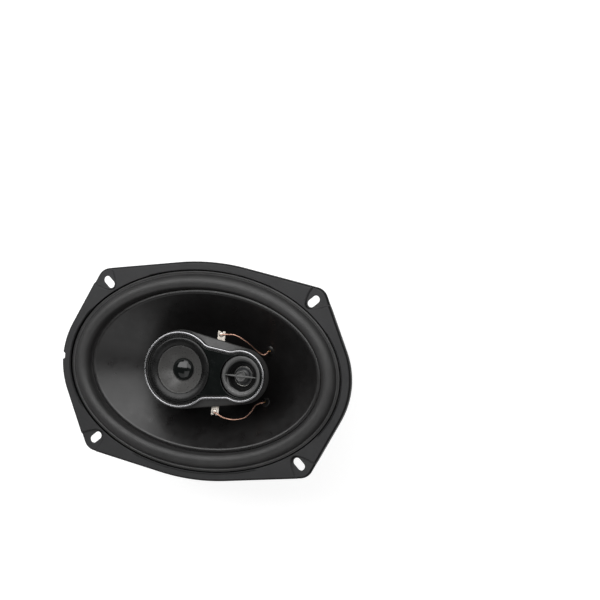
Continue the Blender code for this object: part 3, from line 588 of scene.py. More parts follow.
def fibre_looks():
    """Paper, fibre board and cloth."""
    kraft = ((500.0, 6.0, 0.2), (700.0, 4.0, 0.1), (2200.0, 4.0, 15.0))
    board = Look("board", (0.20, 0.105, 0.045), 0.6)
    fibres = board.noise(700.0, 6.0, board.stretched((0.15, 1.0, 1.0)))
    board.tinted(fibres, 0.3).worn(board.noise(500.0, 4.0), 0.1).raised(fibres, 25.0 * GRAIN)
    paper = Look("grey_paper", (0.068, 0.067, 0.065), 0.32)
    pulp = paper.noise(1500.0, 6.0)
    paper.tinted(pulp, 0.16).worn(paper.noise(600.0, 4.0), 0.08).raised(pulp, 12.0 * GRAIN)
    return [
        board,
        paper,
        speckled("former", (0.36, 0.22, 0.10), 0.5, 0.0, *kraft),
        woven("spider_cloth", (0.42, 0.26, 0.10), 0.85, 0.55, 60.0),
        woven("dome", (0.016, 0.017, 0.018), 0.34, 0.3, 8.0),
    ]


LOOKS = {look.slot: look for look in moulded_looks() + metal_looks() + fibre_looks()}


def piece(mesh, slot, nodes, crease=42.0, rides=True):
    """Show a mesh in place of some CAD nodes, on their body and in their material slot."""
    nodes = nodes.split()
    obj = bpy.data.objects.new(mesh.name, mesh)
    bpy.context.scene.collection.objects.link(obj)
    mesh.materials.clear()
    mesh.materials.append(LOOKS[slot].material)
    mesh.shade_smooth()
    mesh.set_sharp_from_angle(angle=math.radians(crease))
    if rides:
        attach(obj, frame["nodes"][nodes[0]]["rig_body"])
    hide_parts(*nodes)
    return obj


def bending(obj):
    """Bake a mesh's place into its points."""
    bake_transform(obj)


def mesh_points(mesh):
    """A mesh's points as an array, in millimetres."""
    points = np.empty(len(mesh.vertices) * 3)
    mesh.vertices.foreach_get("co", points)
    return points.reshape(-1, 3) / MM


# ---- basket ---------------------------------------------------------------------------


def flange_reach(angles, inset):
    """How far the flange reaches: the hull of the oval and its four round ears."""
    tilts = even_angles(2880)
    oval_support = np.hypot(FLANGE_HALF[0] * np.cos(tilts), FLANGE_HALF[1] * np.sin(tilts))
    ears = np.abs(EAR_CENTRE[0] * np.cos(tilts)) + np.abs(EAR_CENTRE[1] * np.sin(tilts))
    support = np.maximum(oval_support, ears + EAR_RADIUS) - inset
    facing = np.cos(angles[:, None] - tilts[None, :])
    reaches = np.where(facing > 0.2, support / np.maximum(facing, 0.2), np.inf)
    return reaches.min(axis=1)


def pad_distance(x, y):
    """How far inside an ear's pad a point is; each pad opens like a parabola outwards."""
    dx, dy = np.abs(x) - EAR_CENTRE[0], np.abs(y) - EAR_CENTRE[1]
    outward = dx * math.cos(SLOT_TILT) + dy * math.sin(SLOT_TILT) + PAD_REACH
    sideways = (dy * math.cos(SLOT_TILT) - dx * math.sin(SLOT_TILT)) / PAD_WIDTH
    return (outward - sideways**2) / np.hypot(1.0, 2.0 * sideways / PAD_WIDTH)


def flange_rows(angles):
    """From the sloping body over the landing and the flat flange to the rolled rim."""
    inner = [oval(*BODY_END, angles)]
    inner += [oval(*size, LANDING_Z, angles) for size in LANDING]
    inner.append(oval(*STEP_TOP, FLANGE_Z, angles))
    start = oval_reach(*STEP_TOP, angles)
    stop = flange_reach(angles, RIM_RADIUS)
    edge = ring(stop, FLANGE_Z, angles)
    rows = list(softened([*inner, edge], (0.0, 1.2, 0.5, 0.45, 0.0), 4)[:-1])
    for share in np.linspace(0.06, 1.0, 46):
        row = ring(start + share * (stop - start), FLANGE_Z, angles)
        rows.append(row - pad_drop(row))
    drop = rim_drop(edge)
    for turn in np.linspace(0.0, 0.5 * math.pi, 8)[1:]:
        row = ring(flange_reach(angles, RIM_RADIUS * (1.0 - math.sin(turn))), FLANGE_Z, angles)
        row[:, 2] -= RIM_RADIUS * (1.0 - math.cos(turn))
        rows.append(row - pad_drop(edge))
    last = rows[-1].copy()
    last[:, 2] = FLANGE_Z - drop
    return np.array([*rows, *between(rows[-1], last, 2), last])


def pad_drop(row):
    """The pads' depth under each point of a row, as a move down."""
    depth = PAD_DEPTH * smoothstep(0.0, PAD_SLOPE, pad_distance(row[:, 0], row[:, 1]))
    return np.stack((0.0 * depth, 0.0 * depth, depth), axis=-1)


def rim_drop(edge):
    """How far the rim rolls down; it fades at the ears."""
    ear = smoothstep(-3.0, 1.0, pad_distance(edge[:, 0], edge[:, 1]))
    return RIM_DROP - RIM_FADE * ear


def slot_outline(centre, tilt):
    """A slot with round ends."""
    length, width = SLOT_SIZE
    half = 0.5 * (length - width)
    ends = arc(half, 0.0, 0.5 * width, -0.5 * math.pi, 0.5 * math.pi, 17)
    ends += arc(-half, 0.0, 0.5 * width, 0.5 * math.pi, 1.5 * math.pi, 17)
    turn = Matrix.Rotation(tilt, 2)
    points = [turn @ Vector(point) for point in ends]
    return [(centre[0] + point.x, centre[1] + point.y) for point in points]


def build_flange():
    """Flange with four slotted ears, a rolled rim and the notch at one end."""
    angles = even_angles(1080)
    mesh = grid_mesh("basket_flange", sheet_rows(flange_rows(angles), SHEET), joined=True)
    cutters = []
    for side_x in (-1.0, 1.0):
        for side_y in (-1.0, 1.0):
            centre = (side_x * EAR_CENTRE[0], side_y * EAR_CENTRE[1])
            outline = slot_outline(centre, side_x * side_y * SLOT_TILT)
            cutters.append(prism("slot", outline, *FLANGE_CUT))
    depth, width = NOTCH_SIZE
    far = -FLANGE_HALF[0] - 2.0
    near = -FLANGE_HALF[0] + depth
    half = 0.5 * width
    notch = [(far, -half - 0.8), (near - 0.9, -half), (near, -half + 0.9)]
    notch += [(near, half - 0.9), (near - 0.9, half), (far, half + 0.8)]
    cutters.append(prism("notch", notch, *FLANGE_CUT))
    piece(boolean(mesh, merged("flange_cuts", cutters)), "black_steel", "basket")


def body_point_rows(angles):
    """The basket from its seat up the sloping body, with a pressed rib along each leg."""
    start = oval(*BODY_START, angles)
    stop = oval(*BODY_END, angles)
    corners = [
        ring(16.0, SEAT_Z, angles),
        ring(30.0, SEAT_Z, angles),
        ring(32.5, SHELF_Z, angles),
        ring(42.0, SHELF_Z, angles),
        start,
        stop,
    ]
    rows = list(softened(corners, (0.0, 1.2, 1.2, 1.0, 1.4, 0.0), 4)[:-1])
    leg_step = 2.0 * math.pi / LEG_COUNT
    nearest_leg = np.round(angles / leg_step) * leg_step
    for share in np.linspace(0.08, 1.0, 34):
        row = start + share * (stop - start)
        sideways = np.hypot(row[:, 0], row[:, 1]) * np.sin(angles - nearest_leg)
        span = smoothstep(0.08, 0.2, share) * (1.0 - smoothstep(0.86, 0.97, share))
        row[:, 2] -= RIB[1] * span * np.exp(-((sideways / RIB[0]) ** 2))
        rows.append(row)
    return np.array(rows)


def window_outline(index):
    """One window between two legs, with rounded corners."""
    step = 2.0 * math.pi / LEG_COUNT
    first = index * step
    count = 24
    outline = []
    for share, order in ((WINDOW_SPAN[0], 1), (WINDOW_SPAN[1], -1)):
        middle = window_reach(first + 0.5 * step, share)
        margin = math.asin(LEG_HALF_WIDTH / middle)
        turns = np.linspace(first + margin, first + step - margin, count)
        for turn in turns[::order]:
            reach = window_reach(turn, share)
            outline.append((reach * math.cos(turn), reach * math.sin(turn)))
    corners = (0, count - 1, count, 2 * count - 1)
    return [tuple(point) for point in rounded_corners(np.array(outline), corners, WINDOW_CORNER)]


def window_reach(angle, share):
    """A radius part of the way up the sloping body."""
    near = oval_reach(BODY_START[0], BODY_START[1], angle)
    return near + share * (oval_reach(BODY_END[0], BODY_END[1], angle) - near)


def rounded_corners(points, corners, radius, steps=7):
    """Replace some corners of a closed outline by curves, and drop the points beside them."""
    count = len(points)
    kept = []
    for i in range(count):
        gap = min(np.linalg.norm(points[i] - points[c]) for c in corners)
        if i in corners:
            before = points[i] + unit(points[(i - 1) % count] - points[i]) * radius
            after = points[i] + unit(points[(i + 1) % count] - points[i]) * radius
            for t in np.linspace(0.0, 1.0, steps):
                swing = 2.0 * t * (1.0 - t) * points[i]
                kept.append((1.0 - t) ** 2 * before + swing + t**2 * after)
        elif gap > radius * 1.05:
            kept.append(points[i])
    return np.array(kept)


def unit(vector):
    """A vector of length one."""
    return vector / np.linalg.norm(vector)


def rivet_places():
    """The four rivets between the basket and the top plate."""
    turns = [math.radians(45.0 + 90.0 * i) for i in range(4)]
    return [(RIVET_CIRCLE * math.cos(t), RIVET_CIRCLE * math.sin(t)) for t in turns]


def build_body():
    """Pressed body with six windows, and the tongue that carries the terminals."""
    angles = even_angles(540)
    mesh = grid_mesh("basket_body", sheet_rows(body_point_rows(angles), SHEET), joined=True)
    cutters = [prism("window", window_outline(i), *WINDOW_CUT) for i in range(LEG_COUNT)]
    for place in rivet_places():
        hole = circle(place, RIVET_HOLE, 24)
        cutters.append(prism("rivet_hole", hole, SEAT_Z - 2.2, SEAT_Z + 1.3))
    piece(boolean(mesh, merged("body_cuts", cutters)), "black_steel", "basket")
    tongue = [(40.0, -6.0), (51.5, -6.0), (53.0, -4.5), (53.0, 4.5), (51.5, 6.0), (40.0, 6.0)]
    hole = circle(TONGUE_RIVET_AT, 1.7)
    plate = flat_mesh("terminal_tongue", (tongue, hole), SHELF_Z - 0.9, SHELF_Z - 0.1, 0.15)
    piece(plate, "black_steel", "basket")


# ---- magnetic circuit -----------------------------------------------------------------


def build_magnet_circuit():
    """Top plate, rivets, and the rubber cover round the ferrite ring and yoke."""
    plate = [(14.4, 27.9), (40.0, 27.9), (40.0, 23.1), (14.4, 23.1)]
    piece(lathe_mesh("top_plate_ring", plate, 0.5, steps=4), "plated_steel", "top_plate")
    profile = [(0.0, 30.9), (1.2, 30.9), (3.1, 30.3), (3.4, 29.5)]
    profile += [(2.0, 29.5), (2.0, 24.4), (0.0, 24.4)]
    for index, place in enumerate(rivet_places()):
        head = lathe_mesh(f"rivet_{index + 1}", profile, 0.35, place, 40)
        piece(head, "plated_steel", f"plate_rivet_{index + 1}")
    cover = [(0.0, 0.6), (16.0, 0.6), (17.0, 0.0), (43.8, 0.0), (45.3, 1.5)]
    cover += [(45.3, 8.0), (44.8, 8.5), (44.8, 9.5), (45.3, 10.0)]
    cover += [(45.3, 24.0), (43.3, 24.0), (43.3, 1.2), (0.0, 1.2)]
    radii = (0.0, 0.4, 0.4, 0.9, 1.1, 0.25, 0.25, 0.25, 0.25, 0.7, 0.5, 0.3, 0.0)
    piece(lathe_mesh("magnet_boot", cover, radii, count=200), "cover_rubber", "magnet_cover")


# ---- woofer cone and suspension -------------------------------------------------------


def cone_bend(angle):
    """How far the cone slopes out before its flat lip."""
    return oval_reach(CONE_EDGE[0] - CONE_LIP, CONE_EDGE[1] - CONE_LIP, angle)


def cone_height(x, y):
    """The front of the cone above a point."""
    reach = cone_bend(np.arctan2(y, x))
    share = (np.hypot(x, y) - CONE_NECK[0]) / (reach - CONE_NECK[0])
    return CONE_NECK[1] + share * (CONE_EDGE[2] - CONE_NECK[1])


def build_cone():
    """Glossy oval cone with a turned-over lip."""
    angles = even_angles(480)
    bend = cone_bend(angles)
    rows = []
    for share in np.linspace(0.0, 0.965, 44):
        reach = CONE_NECK[0] + share * (bend - CONE_NECK[0])
        rows.append(ring(reach, CONE_NECK[1] + share * (CONE_EDGE[2] - CONE_NECK[1]), angles))
    corner = ring(bend, CONE_EDGE[2], angles)
    lip = oval(*CONE_EDGE, angles)
    fold = softened([rows[-1], corner, lip], (0.0, 1.0, 0.0), 5)
    rows += list(fold[1:])
    mesh = grid_mesh("woofer_cone", sheet_rows(rows, 0.6), joined=True)
    piece(mesh, "black_poly", "cone", crease=60.0)


def surround_profile():
    """Half-length and height along the edge: flap, half roll and landing bead."""
    profile = [(91.5, 77.0), (93.4, 77.0), (94.0, 77.3)]
    for turn in np.linspace(0.97 * math.pi, 0.115 * math.pi, 34):
        profile.append((ROLL_CREST[0] + ROLL_HALF_WIDTH * math.cos(turn), roll_height(turn)))
    profile += [(106.9, 81.2), (107.4, 81.2), (107.7, 81.45), (108.0, 81.2), (108.6, 81.15)]
    return profile


def roll_height(turn):
    """Height of the roll at a turn about its middle."""
    return ROLL_BASE + (ROLL_CREST[1] - ROLL_BASE) * math.sin(turn)


def build_surround():
    """Rubber half-roll edge between the basket and the cone."""
    angles = even_angles(720)
    rows = []
    for half_length, height in surround_profile():
        narrower = float(np.interp(half_length, ROLL_LENGTHS, ROLL_NARROWER))
        rows.append(oval(half_length, half_length - narrower, height, angles))
    mesh = grid_mesh("edge_roll", sheet_rows(rows, 0.9), joined=True)
    obj = piece(mesh, "edge_rubber", "surround", crease=65.0, rides=False)
    points = mesh_points(mesh)
    bending(obj)


def build_spider():
    """Corrugated cloth disc between the shelf and the coil former."""
    first, last, pitch, swing = 17.0, 33.0, 3.2, 1.0
    cloth_on_shelf = 37.8
    waves = np.linspace(first, last, 73)
    radii = np.concatenate((np.linspace(13.5, 16.8, 5), waves, (34.5, 35.2, 38.0, 41.0)))
    rows = []
    angles = even_angles(216)
    for radius in radii:
        swell = smoothstep(15.5, 18.0, radius) * (1.0 - smoothstep(31.5, 34.0, radius))
        level = 38.95 + swell * swing * math.cos(2.0 * math.pi * (radius - first) / pitch)
        level += (cloth_on_shelf - level) * smoothstep(32.0, 35.0, radius)
        rows.append(ring(radius, level, angles))
    mesh = grid_mesh("spider_disc", sheet_rows(rows, 0.4), joined=True)
    obj = piece(mesh, "spider_cloth", "spider", crease=70.0, rides=False)
    points = mesh_points(mesh)
    bending(obj)


def eyelet_matrix(side):
    """Where an eyelet stands on the cone, square to its surface, in metres."""
    x, y = EYELET_AT[0], side * EYELET_AT[1]
    step = 0.5
    slope_x = (cone_height(x + step, y) - cone_height(x - step, y)) / (2.0 * step)
    slope_y = (cone_height(x, y + step) - cone_height(x, y - step)) / (2.0 * step)
    normal = Vector((-slope_x, -slope_y, 1.0)).normalized()
    turn = Vector((0.0, 0.0, 1.0)).rotation_difference(normal).to_matrix().to_4x4()
    return Matrix.Translation(Vector((x, y, cone_height(x, y))) * MM) @ turn


def build_eyelets():
    """Eyelets under the leads' ends, and a ring of black glue round each."""
    spool = [(0.0, 0.9), (0.7, 1.0), (1.2, 0.9), (1.4, 0.4), (1.1, 0.35), (1.1, -1.0), (2.0, -1.1)]
    spool += [(2.0, -1.5), (0.0, -1.5)]
    glue = [(0.9, 1.0), (1.4, 1.02), (2.2, 0.8), (3.2, 0.4)]
    glue += [(3.9, -0.05), (3.9, -0.15), (0.9, -0.15)]
    for side, name in ((1.0, "upper"), (-1.0, "lower")):
        place = eyelet_matrix(side)
        eyelet = lathe_mesh(f"eyelet_{name}", spool, 0.2, count=40)
        eyelet.transform(place)
        piece(eyelet, "brass", f"cone_eyelet_{name}")
        blob = lathe_mesh(f"eyelet_glue_{name}", glue, 0.3, count=48)
        blob.transform(place)
        piece(blob, "black_poly", f"cone_eyelet_{name}")


# ---- pod ------------------------------------------------------------------------------


def fillet_to_neck(lobe_x, lobe_radius, level, fillet, side):
    """The fillet's centre, between a lobe and the neck line; side is +1 right of the lobe."""
    length = math.hypot(1.0, NECK_SLOPE)
    along = Vector((1.0, NECK_SLOPE)) / length
    out = Vector((-NECK_SLOPE, 1.0)) / length
    start = Vector((-lobe_x, level)) + out * fillet
    half_b = start.dot(along)
    rest = start.length_squared - (lobe_radius + fillet) ** 2
    shift = -half_b + side * math.sqrt(half_b * half_b - rest)
    return Vector((0.0, level)) + out * fillet + along * shift, out


def keyhole(grow, counts=(56, 16, 44)):
    """The pod's waisted outline, offset outwards by grow, from the tweeter end round."""
    big = MID_LOBE + grow
    small = TWEETER_LOBE + grow
    fillet = NECK_FILLET - grow
    level = NECK_LEVEL + grow * math.hypot(1.0, NECK_SLOPE)
    centre_b, out = fillet_to_neck(TWEETER_X, small, level, fillet, -1.0)
    centre_a, out = fillet_to_neck(MID_X, big, level, fillet, 1.0)
    touch_b = math.atan2(centre_b.y, centre_b.x - TWEETER_X)
    touch_a = math.atan2(centre_a.y, centre_a.x - MID_X)
    neck = math.atan2(-out.y, -out.x) % (2.0 * math.pi)
    back_b = (touch_b + math.pi) % (2.0 * math.pi)
    back_a = (touch_a + math.pi) % (2.0 * math.pi)
    upper = arc(TWEETER_X, 0.0, small, 0.0, touch_b, counts[2])
    upper += arc(centre_b.x, centre_b.y, fillet, back_b, neck, counts[1])[1:]
    upper += arc(centre_a.x, centre_a.y, fillet, neck, back_a, counts[1])
    upper += arc(MID_X, 0.0, big, touch_a, math.pi, counts[0])[1:]
    return mirrored(upper)


def hull_outline(big_x, big, small_x, small, counts=(56, 16, 44)):
    """Two circles and their common tangents, with the same number of points as keyhole."""
    touch = 0.5 * math.pi - math.asin((big - small) / (small_x - big_x))
    upper = arc(small_x, 0.0, small, 0.0, touch, counts[2])
    ahead = arc(big_x, 0.0, big, touch, math.pi, counts[0])
    start, stop = np.array(upper[-1]), np.array(ahead[0])
    for share in np.linspace(0.0, 1.0, 2 * counts[1])[1:-1]:
        upper.append(tuple(start + share * (stop - start)))
    return mirrored(upper + ahead)


def mirrored(upper):
    """A closed outline from its upper half, which starts and ends on the long axis."""
    return np.array(upper + [(x, -y) for x, y in reversed(upper[1:-1])])


def at_height(outline, height):
    """A row from a flat outline."""
    return np.column_stack((outline, np.full(len(outline), height)))


def housing_rows():
    """The housing's (outline, height, corner radius): down its outside, up its inside."""
    shoulder = hull_outline(MID_X, 29.7, TWEETER_X, 20.8)
    outside = [
        (keyhole(-0.1), 91.2, 0.0),
        (keyhole(0.45), 89.7, 0.5),
        (shoulder, 87.0, 1.1),
        (shoulder, 85.8, 0.6),
        (hull_outline(MID_X, 27.5, TWEETER_X, 18.6), 84.8, 0.8),
        (hull_outline(MID_X, 25.0, TWEETER_X, 15.5), 76.6, 0.9),
        (hull_outline(MID_X, 24.2, 8.0, 9.0), 76.2, 0.5),
        (hull_outline(-12.5, 21.0, 5.0, 8.5), 66.0, 1.2),
    ]
    inside = [
        (hull_outline(-12.5, 19.5, 5.0, 7.0), 67.5, 0.8),
        (hull_outline(MID_X, 22.7, 8.0, 7.5), 77.6, 0.5),
        (hull_outline(MID_X, 23.5, TWEETER_X, 14.0), 77.9, 0.5),
        (hull_outline(MID_X, 25.8, TWEETER_X, 17.0), 85.5, 0.5),
        (keyhole(-1.4), 88.2, 0.3),
        (keyhole(-1.5), 91.2, 0.0),
    ]
    return outside, inside


def build_housing():
    """Pod shell with slots for the tabs, a boss for the screw, and a closed floor."""
    faces = []
    for rings, steps in zip(housing_rows(), (5, 3)):
        outlines, heights, radii = zip(*rings)
        faces.append(softened(list(map(at_height, outlines, heights)), radii, steps))
    outer, inner = faces
    rows = [*outer, centre_row(outer[-1]), centre_row(inner[0]), *inner]
    mesh = grid_mesh("pod_shell", rows, joined=True)
    tab_x, tab_y, tab_z = TAB_CENTRE
    cutters = [prism("boss_hole", circle((0.0, 0.0), 2.5, 32), 64.0, 72.0)]
    for side in (-1.0, 1.0):
        outline = rectangle(3.3, 7.0, tab_x, side * tab_y)
        cutters.append(prism("tab_slot", outline, tab_z - 0.6, tab_z + 0.6))
    piece(boolean(mesh, merged("housing_cuts", cutters)), "black_plastic", "pod_housing")


def centre_row(row):
    """A row drawn in to one point, to close a floor."""
    return np.repeat(row.mean(axis=0)[None, :], len(row), axis=0)


def build_trim():
    """Bright bead round the keyhole mouth."""
    section = [(0.75, 91.5), (0.75, 93.0), (-0.75, 93.0), (-0.75, 91.5)]
    rows = [at_height(keyhole(grow, (168, 48, 132)), z) for grow, z in section]
    soft = softened(rows, (0.3, 0.62, 0.55, 0.3), 6, cyclic=True)
    piece(grid_mesh("trim_bead", soft, joined=True), "bright_trim", "pod_trim")


def plate_outline():
    """The faceplate's edge: the keyhole up to the round bite that the midrange takes."""
    rim = keyhole(-1.8)
    kept = [(x, y) for x, y in rim if x > PLATE_LEFT]
    upper = [point for point in kept if point[1] >= 0.0]
    lower = [point for point in kept if point[1] < 0.0]
    corner = math.atan2(upper[-1][1], upper[-1][0] - MID_X)
    return upper + arc(MID_X, 0.0, PLATE_BITE, corner, -corner, 60) + lower


def build_faceplate():
    """Gloss plate between the two small drivers."""
    outlines = (plate_outline(), circle((TWEETER_X, 0.0), 15.8, 120))
    piece(flat_mesh("face_plate", outlines, 91.1, 91.9, 0.22), "gloss_black", "pod_faceplate")


def build_post():
    """Post and the long screw that hold the pod on the pole."""
    post = [(2.6, 65.7), (6.0, 65.7), (6.0, 29.8), (2.6, 29.8)]
    piece(lathe_mesh("post_tube", post, 0.5, count=72), "black_plastic", "pod_post")
    screw = [(0.0, 69.6), (1.6, 69.6), (2.2, 68.8), (2.2, 4.4), (4.6, 4.4), (4.6, 2.6)]
    screw += [(4.0, 1.8), (0.0, 1.8)]
    mesh = lathe_mesh("pod_screw", screw, 0.3, count=64)
    long_half, short_half = 2.6, 0.45
    drive = [prism("drive", rectangle(short_half, long_half), 1.0, 3.4)]
    drive.append(prism("drive", rectangle(long_half, short_half), 0.9, 3.5))
    piece(boolean(mesh, merged("cross", drive)), "plated_steel", "post_screw")


def rectangle(half_x, half_y, x=0.0, y=0.0):
    """A flat rectangle about a point."""
    signs = ((-1.0, -1.0), (1.0, -1.0), (1.0, 1.0), (-1.0, 1.0))
    return [(x + half_x * side, y + half_y * end) for side, end in signs]


def build_tabs():
    """Tinned flat tabs with a notch in the outer end and the solder that holds each lead."""
    tab_x, tab_y, tab_z = TAB_CENTRE
    for side, name in ((1.0, "upper"), (-1.0, "lower")):
        tip = side * (tab_y + 6.0)
        root = side * (tab_y - 6.0)
        notch = side * (tab_y + 4.6)
        edge = [(-3.0, root), (3.0, root), (3.0, tip), (0.9, tip)]
        edge += [(0.7, notch), (-0.7, notch), (-0.9, tip), (-3.0, tip)]
        outline = [(tab_x + x, y) for x, y in edge]
        if side < 0.0:
            outline.reverse()
        tab = flat_mesh(f"tab_{name}", (outline,), tab_z - 0.3, tab_z + 0.3, 0.12)
        solder = [(0.0, 0.9), (1.0, 0.75), (1.7, 0.35), (2.1, 0.0), (0.0, 0.0)]
        drop = lathe_mesh("solder", solder, 0.3, count=36)
        place = Vector((tab_x - 0.3, side * (tab_y + 3.4), tab_z + 0.28))
        drop.transform(Matrix.Translation(place * MM))
        piece(merged(f"tab_{name}", [tab, drop]), "tinned", f"solder_tab_{name}")


# ---- midrange and tweeter -------------------------------------------------------------


def dome(radius, level, rise, turns):
    """The section of an oval dome, through some turns from its top."""
    return [(radius * math.sin(t), level + rise * math.cos(t)) for t in turns]


def mid_cone_wall(top, shares):
    """One face of the midrange's cone, from its top, with a slight sag halfway."""
    reach, level = top
    return [(reach - 9.2 * s, level - 6.9 * s - 1.1 * s * (1.0 - s)) for s in shares]


def build_midrange():
    """Small cone driver: bowl, rolled edge, cone and gloss dust cap."""
    centre = (MID_X, 0.0)
    bowl = [(25.4, 90.0), (25.4, 87.9), (22.9, 87.6), (12.0, 80.5)]
    bowl += [(8.4, 80.5), (8.4, 81.3), (11.6, 81.3), (22.4, 88.3), (22.8, 90.0)]
    piece(lathe_mesh("mid_bowl", bowl, 0.4, centre), "grey_plastic", "mid_frame")
    build_mid_edge()
    cone = [(18.7, 90.35), (18.7, 89.85), (17.6, 89.8)]
    cone += mid_cone_wall((17.6, 89.6), np.linspace(0.08, 1.0, 10))
    cone += [(7.9, 83.1)]
    cone += mid_cone_wall((17.1, 90.15), np.linspace(0.95, 0.06, 10))
    cone += [(17.3, 90.35)]
    mesh = lathe_mesh("mid_paper_cone", cone, 0.15, centre, steps=2)
    piece(mesh, "grey_paper", "mid_cone", crease=50.0)
    quarter_turn = np.linspace(0.0, 0.5, 16) * math.pi
    cap = dome(8.4, 83.8, 4.0, quarter_turn) + dome(7.7, 83.7, 3.5, quarter_turn[::-1])
    piece(lathe_mesh("mid_cap", cap, 0.0, centre), "gloss_black", "mid_dust_cap", crease=60.0)


def build_mid_edge():
    """The midrange's rolled edge, between the bowl and the cone."""
    spread = np.linspace(0.0, 1.0, 17)
    shoulder = 0.5 * math.pi * spread[1:]
    roll = [(25.9, 90.7), (24.6, 90.7)]
    roll += [(22.9 + 1.6 * math.cos(t), 90.8 + 1.2 * math.sin(t)) for t in shoulder]
    roll += [(22.9 - 4.4 * t, 92.0 - 0.85 * t**2) for t in spread[1:]]
    roll += [(17.9, 91.1), (17.9, 90.6), (18.6, 90.6)]
    roll += [(18.6 + 4.2 * t, 90.6 + 0.85 * t) for t in spread[2::3]]
    roll += [(24.0, 90.3), (25.9, 90.3)]
    mesh = lathe_mesh("mid_roll", roll, 0.06, (MID_X, 0.0), 192, 1)
    obj = piece(mesh, "mid_edge", "mid_surround", crease=60.0, rides=False)
    points = mesh_points(mesh)
    bending(obj)


def build_tweeter():
    """Horn ring, bridge with its hub, and the cloth dome behind them."""
    centre = (TWEETER_X, 0.0)
    horn = [(15.5, 89.4), (15.5, 88.7), (16.6, 88.7), (16.6, 87.7), (10.6, 86.4), (9.8, 83.9)]
    horn += [(7.4, 83.9), (7.4, 84.9)]
    flare = np.linspace(0.0, 1.0, 15)
    horn += [(7.9 + 4.5 * t, 85.2 + 4.4 * (1.0 - (1.0 - t) ** 1.8)) for t in flare]
    horn += [(12.8, 89.85), (13.4, 90.0), (14.3, 90.0), (15.0, 89.8)]
    radii = [0.1, 0.2, 0.2, 0.2, 0.3, 0.2, 0.2, 0.1] + [0.0] * len(flare) + [0.2, 0.3, 0.3, 0.3]
    ring_mesh = lathe_mesh("tweeter_horn", horn, radii, centre, 160)
    piece(ring_mesh, "grey_plastic", "tweeter_bezel")
    build_bridge()
    cloth = dome(6.0, 84.2, 3.0, np.linspace(0.0, 0.5, 14) * math.pi)
    cloth += [(6.45, 84.75), (6.9, 84.6), (6.9, 84.3), (6.4, 84.35), (5.8, 83.9)]
    cloth += dome(5.7, 83.9, 2.8, np.linspace(0.45, 0.0, 10) * math.pi)
    mesh = lathe_mesh("tweeter_soft_dome", cloth, 0.0, centre, 96)
    piece(mesh, "dome", "tweeter_dome", crease=60.0)


def build_bridge():
    """The bar across the horn, with its hub over the dome."""
    rows = []
    half_turn = np.linspace(0.0, math.pi, 11)
    for share in np.linspace(-1.0, 1.0, 49):
        half = 0.12 + 0.85 * (1.0 - share**2) ** 0.8
        crown = 89.6 + 0.8 * (1.0 - 0.5 * share**2)
        section = [(half * math.cos(t), crown + 0.55 * (math.sin(t) - 1.0)) for t in half_turn]
        section += [(-half * 0.7, 88.5), (half * 0.7, 88.5)]
        rows.append([(TWEETER_X + 13.6 * share, y, z) for y, z in section])
    bar = grid_mesh("bar", rows, capped=True)
    hub = [(0.0, 89.9), (2.6, 89.7), (3.0, 90.3), (3.5, 90.6)]
    hub += [(4.0, 90.3), (4.2, 89.6), (4.0, 88.2), (0.0, 88.0)]
    hub_mesh = lathe_mesh("hub", hub, 0.3, (TWEETER_X, 0.0), 64)
    piece(merged("tweeter_bridge", [bar, hub_mesh]), "grey_plastic", "tweeter_bezel")


# ---- terminals and leads --------------------------------------------------------------


def build_terminals():
    """Fibre board with two spade blades and the rivets that hold them."""
    places = ((56.0, 7.0), (56.0, -7.0))
    corners = [(43.6, -12.0), (59.4, -12.0), (60.0, -11.4), (60.0, 11.4), (59.4, 12.0)]
    corners += [(43.6, 12.0), (43.0, 11.4), (43.0, -11.4)]
    holes = [circle(place, 1.5, 32) for place in places]
    holes.append(circle(TONGUE_RIVET_AT, 1.7, 32))
    piece(flat_mesh("fibre_board", [corners] + holes, 34.5, 35.7, 0.1), "board", "terminal_board")
    blades = (("terminal_positive", 7.0, 3.15), ("terminal_negative", -7.0, 2.4))
    for index, (name, y, half) in enumerate(blades):
        outline = [(52.5, y - half), (67.4, y - half), (69.0, y - 0.55 * half)]
        outline += [(69.0, y + 0.55 * half), (67.4, y + half), (52.5, y + half)]
        holes = [circle(places[index], 1.5, 32), circle((65.5, y), 0.9, 24)]
        piece(flat_mesh(f"{name}_blade", [outline] + holes, 33.4, 34.2, 0.18), "tinned", name)
        levels = (32.3, 33.1, 36.0, 36.6)
        rivet_mesh = spool(f"blade_rivet_{index + 1}", places[index], 1.2, 2.2, levels)
        piece(rivet_mesh, "brass", f"terminal_rivet_{index + 1}")
    levels = (33.5, 34.2, 37.2, 37.7)
    tongue_rivet = spool("tongue_rivet", TONGUE_RIVET_AT, 1.4, 2.4, levels)
    piece(tongue_rivet, "brass", "board_rivet")


def spool(name, place, shank, head, levels):
    """A hollow rivet with a domed head at each end."""
    bottom, low, high, top = levels
    profile = [(0.0, top - 0.5), (0.7 * shank, top - 0.4), (0.9 * shank, top)]
    profile += [(0.7 * head, top), (head, high), (shank, high)]
    profile += [(shank, low), (head, low), (0.7 * head, bottom)]
    profile += [(0.9 * shank, bottom), (0.7 * shank, bottom + 0.4), (0.0, bottom + 0.5)]
    return lathe_mesh(name, profile, 0.15, place, 40)


